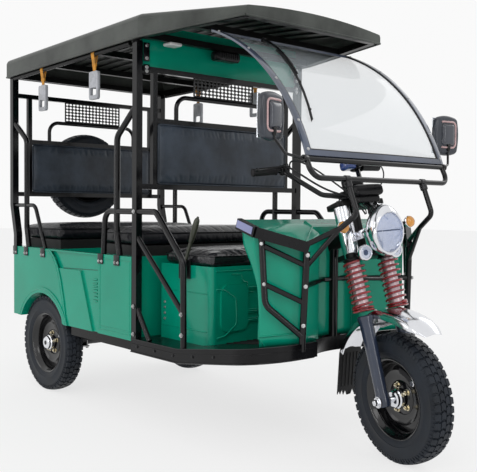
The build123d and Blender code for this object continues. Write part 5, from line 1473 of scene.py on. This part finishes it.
def makePlates():
    plates, bolts = bmesh.new(), bmesh.new()
    for sign in (-1, 1):
        for x, low, high in ((-26, 1700, 1786), (-26, 1640, 1686)):
            addBox(plates, (x - 3, sign * 490 - 16, low), (x + 3, sign * 490 + 16, high), 2)
            for z in (low + 14, high - 14):
                addBolt(bolts, (x + 3, sign * 490, z), (1, 0, 0), 6, 6)
        for x in (-1288, -1150, -949, -342, -195):
            addBox(plates, (x - 24, sign * 540.5 if sign > 0 else -545.5, 742),
                   (x + 24, 545.5 if sign > 0 else -540.5, 792), 1.5)
            for dx in (-14, 14):
                addBolt(bolts, (x + dx, sign * 545, 756), (0, sign, 0), 5, 5)
        for x, z in ((-50, 430), (318, 470), (-50, 1003), (-50, 560), (316, 560)):
            addBolt(bolts, (x, sign * (543 if x < 0 else 539), z), (0, sign, 0), 7, 6)
        for x, y, z in ((864, 330, 840), (858, 334, 716), (852, 338, 560)):
            addTurned(bolts, (x + 12, sign * (y + 8), z), (0.8, sign * 0.5, 0), [(0, 8), (4, 9), (5, 6), (9, 5.5)], 6)
        for x, y, z in ((744, 462, 884), (756, 457, 724)):
            addTurned(bolts, (x + 8, sign * (y + 8), z), (0.4, sign, 0), [(0, 7), (4, 8), (5, 5), (8, 5)], 6)
    addPieces(fixed, "vehicle", (
        ("jointPlates", plates, "tube", "black_tube", 35),
        ("jointBolts", bolts, "steel", "black_tube", 35)))


makeGrilles()
makeHandles()
makeRoofFittings()
makePlates()
print("upper fittings ready")


# Body details: pressed beads, seams, lamps and floor edging

body = {"side": 540.0, "recess": 526.0}


def makeBodyBeads():
    beads, seams = bmesh.new(), bmesh.new()
    for sign in (-1, 1):
        side = sign * (body["side"] + 0.2)
        lines = [[(-362, side, 768), (-76, side, 768)], [(-362, side, 436), (-76, side, 436)],
                 [(-362, side, 419), (-76, side, 419)],
                 [(-84, side, 770), (-84, side, 414)], [(-350, side, 770), (-350, side, 414)],
                 [(-1306, side, 786), (-960, side, 786)]]
        for line in lines:
            addTube(beads, line, 1.9, 0, 8)
        arch = [(-960 + 298 * math.cos(a), side + sign * 4, 265 + 298 * math.sin(a)) for a in
                [math.radians(27 + 126 * k / 30) for k in range(31)]]
        addSweep(beads, [Vector(p) for p in arch], 3.0, 8)
    curve = [(-915, 786), (-868, 784), (-824, 753), (-786, 708), (-752, 635), (-720, 531), (-690, 404)]
    source = [(-936, 784), (-831, 750), (-732, 398)]
    addTube(beads, [(x, -540.5, z) for x, z in curve], 3.2, 40, 8)
    addTube(beads, [(x - 16, -541, z - 6) for x, z in curve], 1.8, 40, 8)
    flange = bmesh.new()
    bend = [(p.x, p.z) for p in roundedPath([(x, 0, z) for x, z in curve], 40, 6)]
    border = bend + list(reversed(source))
    near, far = ([flange.verts.new((x, y, z)) for x, z in border] for y in (-541, -537))
    flange.faces.new(near)
    flange.faces.new(list(reversed(far)))
    for i in range(len(border)):
        j = (i + 1) % len(border)
        flange.faces.new((near[j], near[i], far[i], far[j]))
    bmesh.ops.triangulate(flange, faces=[f for f in flange.faces if len(f.verts) > 4])
    bmesh.ops.recalc_face_normals(flange, faces=flange.faces[:])
    addPiece("bodyFlange", flange, fixed, "green", "vehicle", "green_paint", 40)
    inner = -body["recess"] - 0.4
    addTube(seams, [(-744, inner, 696), (-388, inner, 706)], 1.5, 0, 6)
    for k in range(7):
        addSoftBox(beads, (-432, inner - 6, 546 + 18 * k), (-392, inner + 1, 555 + 18 * k), 3.4, (4, 1, 1))
    addTube(beads, [(-372, inner, 778), (-372, inner, 398)], 1.8, 0, 8)
    addPieces(fixed, "vehicle", (
        ("bodyBeads", beads, "green", "green_paint", 50),
        ("bodySeams", seams, "seam", "green_paint", 50)))


paints["seam"] = finish("seamShadow", (0.004, 0.06, 0.04), 0.5, patch=6, change=0.2)


def makeBoxDetails():
    beads, dark = bmesh.new(), bmesh.new()
    x = 353.0
    for sign in (-1, 1):
        marks = [(-284, 726), (-231, 724), (-214, 690), (-188, 684), (-187, 640), (-150, 637)]
        addTube(beads, [(x, sign * y, z) for y, z in marks], 2.6, 4, 8)
        form = [(-376, 664), (-330, 656), (-268, 618), (-262, 560), (-262, 500), (-330, 452), (-374, 446)]
        addTube(beads, [(x + 9.5, sign * y, z) for y, z in form], 3.6, 26, 8)
        for z in (505, 513, 545, 553, 655):
            addTube(beads, [(x + 7.5, sign * 195, z + 8), (x + 7.5, sign * 8, z + 8)], 2.2, 0, 8)
        for z in (640, 470):
            addTube(beads, [(-10, sign * 401, z), (322, sign * 401, z)], 2.2, 0, 8)
    addTube(beads, [(x + 0.6, -374, 742), (x + 0.6, 374, 742)], 2.6, 0, 8)
    for k in range(4):
        addBolt(dark, (6, -402, 500 + 26 * k), (0, -1, 0), 5, 4)
    addPieces(fixed, "vehicle", (
        ("driverBoxBeads", beads, "green", "green_paint", 50),
        ("driverBoxScrews", dark, "steel", "green_paint", 50)))


def floorTop(x):
    return 408 + max(0.0, x - 290) * 75 / 550


def makeFloorEdges():
    bright, dark, mat = bmesh.new(), bmesh.new(), bmesh.new()
    for sign in (-1, 1):
        plan = [(-70, 541), (290, 541), (500, 541), (660, 541)]
        corner = [(660 + 180 * math.sin(a), 361 + 180 * math.cos(a)) for a in [math.pi / 2 * k / 12 for k in range(1,
                13)]]
        rim = plan + corner + [(840, 300), (838, 255)]
        for bm, lift, size in ((bright, -1, 2.0), (dark, -61, 4.0), (dark, -24, 1.8)):
            addSweep(bm, [Vector((x, sign * y, floorTop(x) + lift)) for x, y in rim], size, 8)
        for x in (-20, 120, 260, 400, 540):
            addBolt(bright, (x, sign * 541, floorTop(x) - 34), (0, sign, 0), 5, 4)
    for k in range(17):
        y = -320 + 40 * k
        addTube(mat, [(368, y, floorTop(368) + 1.5), (620, y, floorTop(620) + 1.5)], 3.2, 0, 6)
    addPieces(fixed, "vehicle", (
        ("floorEdgeTrim", bright, "darkSteel", "black_floor", 40),
        ("floorEdgeRolls", dark, "floor", "black_floor", 40),
        ("floorMatRibs", mat, "rubber", "black_floor", 40)))


shield = {"widths": ((380, 452), (470, 446), (620, 441), (720, 444), (790, 456), (850, 474), (880, 480), (1000, 480)),
          "rear": ((300, 728), (700, 700), (830, 668), (880, 652), (985, 640)), "steps": 16, "wall": 0.003}


def tableValue(table, at):
    for (a, low), (b, high) in zip(table, table[1:]):
        if at <= b:
            share = max(0.0, (at - a) / (b - a))
            return low + (high - low) * share
    return table[-1][1]


def shieldTop(x):
    return 978 - (x - 640) * 142 / 260


def makeShield():
    bm = bmesh.new()

    def plan(z):
        wide = tableValue(shield["widths"], z)
        corner = [Vector((tableValue(shield["rear"], z), wide, 0)), Vector((715, wide, 0)), Vector((832, 315, 0)),
                  Vector((748, 131, 0)), Vector((699, 131, 0))]
        path = roundedPath(corner, 15, 4)
        dense = []
        for near, far in zip(path, path[1:]):
            dense += [near.lerp(far, k / 4) for k in range(4)]
        return dense + [path[-1]]

    count = len(plan(900))
    columns = []
    for k in range(count):
        column = []
        for i in range(shield["steps"] + 1):
            share = i / shield["steps"]
            z = 900.0
            for _ in range(3):
                x = plan(z)[k].x
                z = floorTop(x) + 1 + (shieldTop(x) - floorTop(x) - 1) * share
            spot = plan(z)[k]
            column.append(Vector((spot.x, spot.y, z)))
        columns.append(column)
    line = [[Vector((p.x, -p.y, p.z)) for p in column] for column in columns] + list(reversed(columns))
    grid = [[bm.verts.new(p) for p in column] for column in line]
    for near, far in zip(grid, grid[1:]):
        for i in range(shield["steps"]):
            bm.faces.new((near[i], far[i], far[i + 1], near[i + 1]))
    roof = bm.faces.new([column[-1] for column in grid])
    bmesh.ops.recalc_face_normals(bm, faces=bm.faces[:])
    edges = [edge for edge in roof.edges if len(edge.link_faces) == 2]
    bmesh.ops.bevel(bm, geom=edges, offset=6, segments=3, affect="EDGES", profile=0.5)
    if max(bm.faces, key=lambda f: f.calc_area()).normal.z < 0:
        bmesh.ops.reverse_faces(bm, faces=bm.faces[:])
    bmesh.ops.triangulate(bm, faces=[f for f in bm.faces if len(f.verts) > 4])
    piece = addPiece("legShield", bm, fixed, "green", "vehicle", "green_paint", 32, ["leg_shield"])
    wall = piece.modifiers.new("wall", "SOLIDIFY")
    wall.thickness = shield["wall"]
    wall.offset = -1


def makeShieldDetails():
    beads, insert, upright = bmesh.new(), bmesh.new(), bmesh.new()
    top = lambda x: shieldTop(x) + 1.0
    addTube(upright, [(709, 0, floorTop(709) + 2), (709, 0, top(709) - 10)], 20, 0, 20)
    addTube(upright, [(706, -62, 716), (706, 62, 716)], 10, 0, 14)
    for sign in (-1, 1):
        addTube(beads, [(715, sign * 480, top(715)), (834, sign * 315, top(834)), (700, sign * 130, top(700)),
                        (656, sign * 130, top(656))], 4, 8, 8)
        for x, y in ((835, 315), (701, 130)):
            addTube(beads, [(x, sign * y, top(x)), (x, sign * y, floorTop(x) + 6)], 3.4, 0, 8)
        sill = [(718, sign * 449, floorTop(718) + 40), (835, sign * 316, floorTop(835) + 44),
                (702, sign * 132, floorTop(702) + 38)]
        addTube(beads, sill, 3, 6, 8)
        near, far = Vector((640, sign * 503.5, 962)), Vector((728, sign * 501.5, 935))
        section = (Vector((0, 0, 1)), [(15, 1.6), (15, -1.6), (-15, -1.6), (-15, 1.6)])
        addSweep(insert, [near, near.lerp(far, 0.5), far], 1, section=section)
    addPieces(fixed, "vehicle", (
        ("shieldBeads", beads, "green", "green_paint", 50),
        ("noseUpright", upright, "tube", "green_paint", 40),
        ("bandInserts", insert, "insert", "black_plastic", 35)))


def makeRearLamps():
    red, amber, case = bmesh.new(), bmesh.new(), bmesh.new()
    for sign in (-1, 1):
        low, high = sorted((sign * 432, sign * 508))
        addSoftBox(case, (-1320, low, 628), (-1309, high, 756), 5, (1, 3, 5))
        addSoftBox(red, (-1330, low + 7, 700), (-1318, high - 7, 748), 5, (1, 3, 3))
        addSoftBox(amber, (-1330, low + 7, 640), (-1318, high - 7, 694), 5, (1, 3, 3))
    addPieces(fixed, "vehicle", (
        ("rearLampCases", case, "plastic", "black_plastic", 40),
        ("rearLampRed", red, "red", "lamp_lens", 40),
        ("rearLampAmber", amber, "amber", "lamp_lens", 40)))


def makeUnderside():
    bolts, pipes = bmesh.new(), bmesh.new()
    for sign in (-1, 1):
        y = sign * 300
        for dx in (-30, 30):
            for dy in (-26, 26):
                addRod(bolts, (-960 + dx, y + dy, 222), (-960 + dx, y + dy, 336), 5, 10)
                addTurned(bolts, (-960 + dx, y + dy, 214), (0, 0, 1), [(0, 8), (1, 9), (9, 9), (10, 7)], 6)
            addTube(bolts, [(-960 + dx, y - 26, 330), (-960 + dx, y - 26, 341), (-960 + dx, y + 26, 341),
                            (-960 + dx, y + 26, 330)], 5, 8, 10)
        addBox(bolts, (-1004, y - 34, 222), (-916, y + 34, 230), 2)
        for x in (-1260, -660):
            addBolt(bolts, (x, y - 24, 326), (0, -1, 0), 9, 9)
            addBolt(bolts, (x, y + 24, 326), (0, 1, 0), 9, 9)
    for sign in (-1, 1):
        run = [(-930, 396, 300), (-800, 430, 352), (-560, 470, 340), (-330, 478, 336), (-80, 478, 336)]
        addTube(pipes, [(x, sign * y, z) for x, y, z in run], 3.5, 60, 8)
    for k in range(12):
        turn = 2 * math.pi * k / 12
        at = Vector((-572, 60 + 66 * math.cos(turn), 271 + 66 * math.sin(turn)))
        addBolt(bolts, at, (1, 0, 0), 5, 5)
    # The brake pipes share the sliders' finish, whose pink is a painted reflection
    addPieces(fixed, "vehicle", (
        ("springBolts", bolts, "steel", "spring_steel", 35),
        ("brakePipes", pipes, "pinkPaintedReflection", "spring_steel", 35)))


def makeHandbrake():
    stick, grip, plate = bmesh.new(), bmesh.new(), bmesh.new()
    foot, top = Vector((180, -418, 770)), Vector((262, -414, 962))
    axis = (top - foot).normalized()
    length = (top - foot).length
    addTurned(stick, foot - axis * 10, axis, [(0, 7), (8, 8), (length * 0.5, 8.5), (length * 0.55, 9)], 18)
    addTurned(grip, foot + axis * length * 0.5, axis,
              [(0, 9), (4, 12), (40, 14), (80, 14.5), (length * 0.5 + 2, 13), (length * 0.5 + 12, 10),
               (length * 0.5 + 16, 4)], 22)
    addTurned(stick, top + axis * 14, axis, [(0, 6), (6, 6), (9, 4)], 14)
    addBox(plate, (150, -430, 700), (205, -424, 785), 4)
    addBox(plate, (150, -408, 700), (205, -401, 785), 4)
    addRod(plate, (176, -432, 752), (176, -400, 752), 7, 14, 1.5)
    for k in range(7):
        addBox(plate, (158 + k * 6, -419, 782), (161 + k * 6, -413, 789), 0.8)
    addPieces(fixed, "vehicle", (
        ("handbrakeStick", stick, "olive", "lever_metal", 35, ["handbrake_lever"]),
        ("handbrakeGrip", grip, "olive", "lever_metal", 40),
        ("handbrakePlates", plate, "darkSteel", "lever_metal", 35)))


paints["olive"] = finish("leverOlive", (0.030, 0.034, 0.020), 0.4, coat=0.3, patch=14, change=0.3, grain=0.2,
                         grainSize=500)
makeBodyBeads()
makeBoxDetails()
makeFloorEdges()
makeShield()
makeShieldDetails()
makeRearLamps()
makeUnderside()
makeHandbrake()
print("body details ready")

bpy.context.view_layer.update()
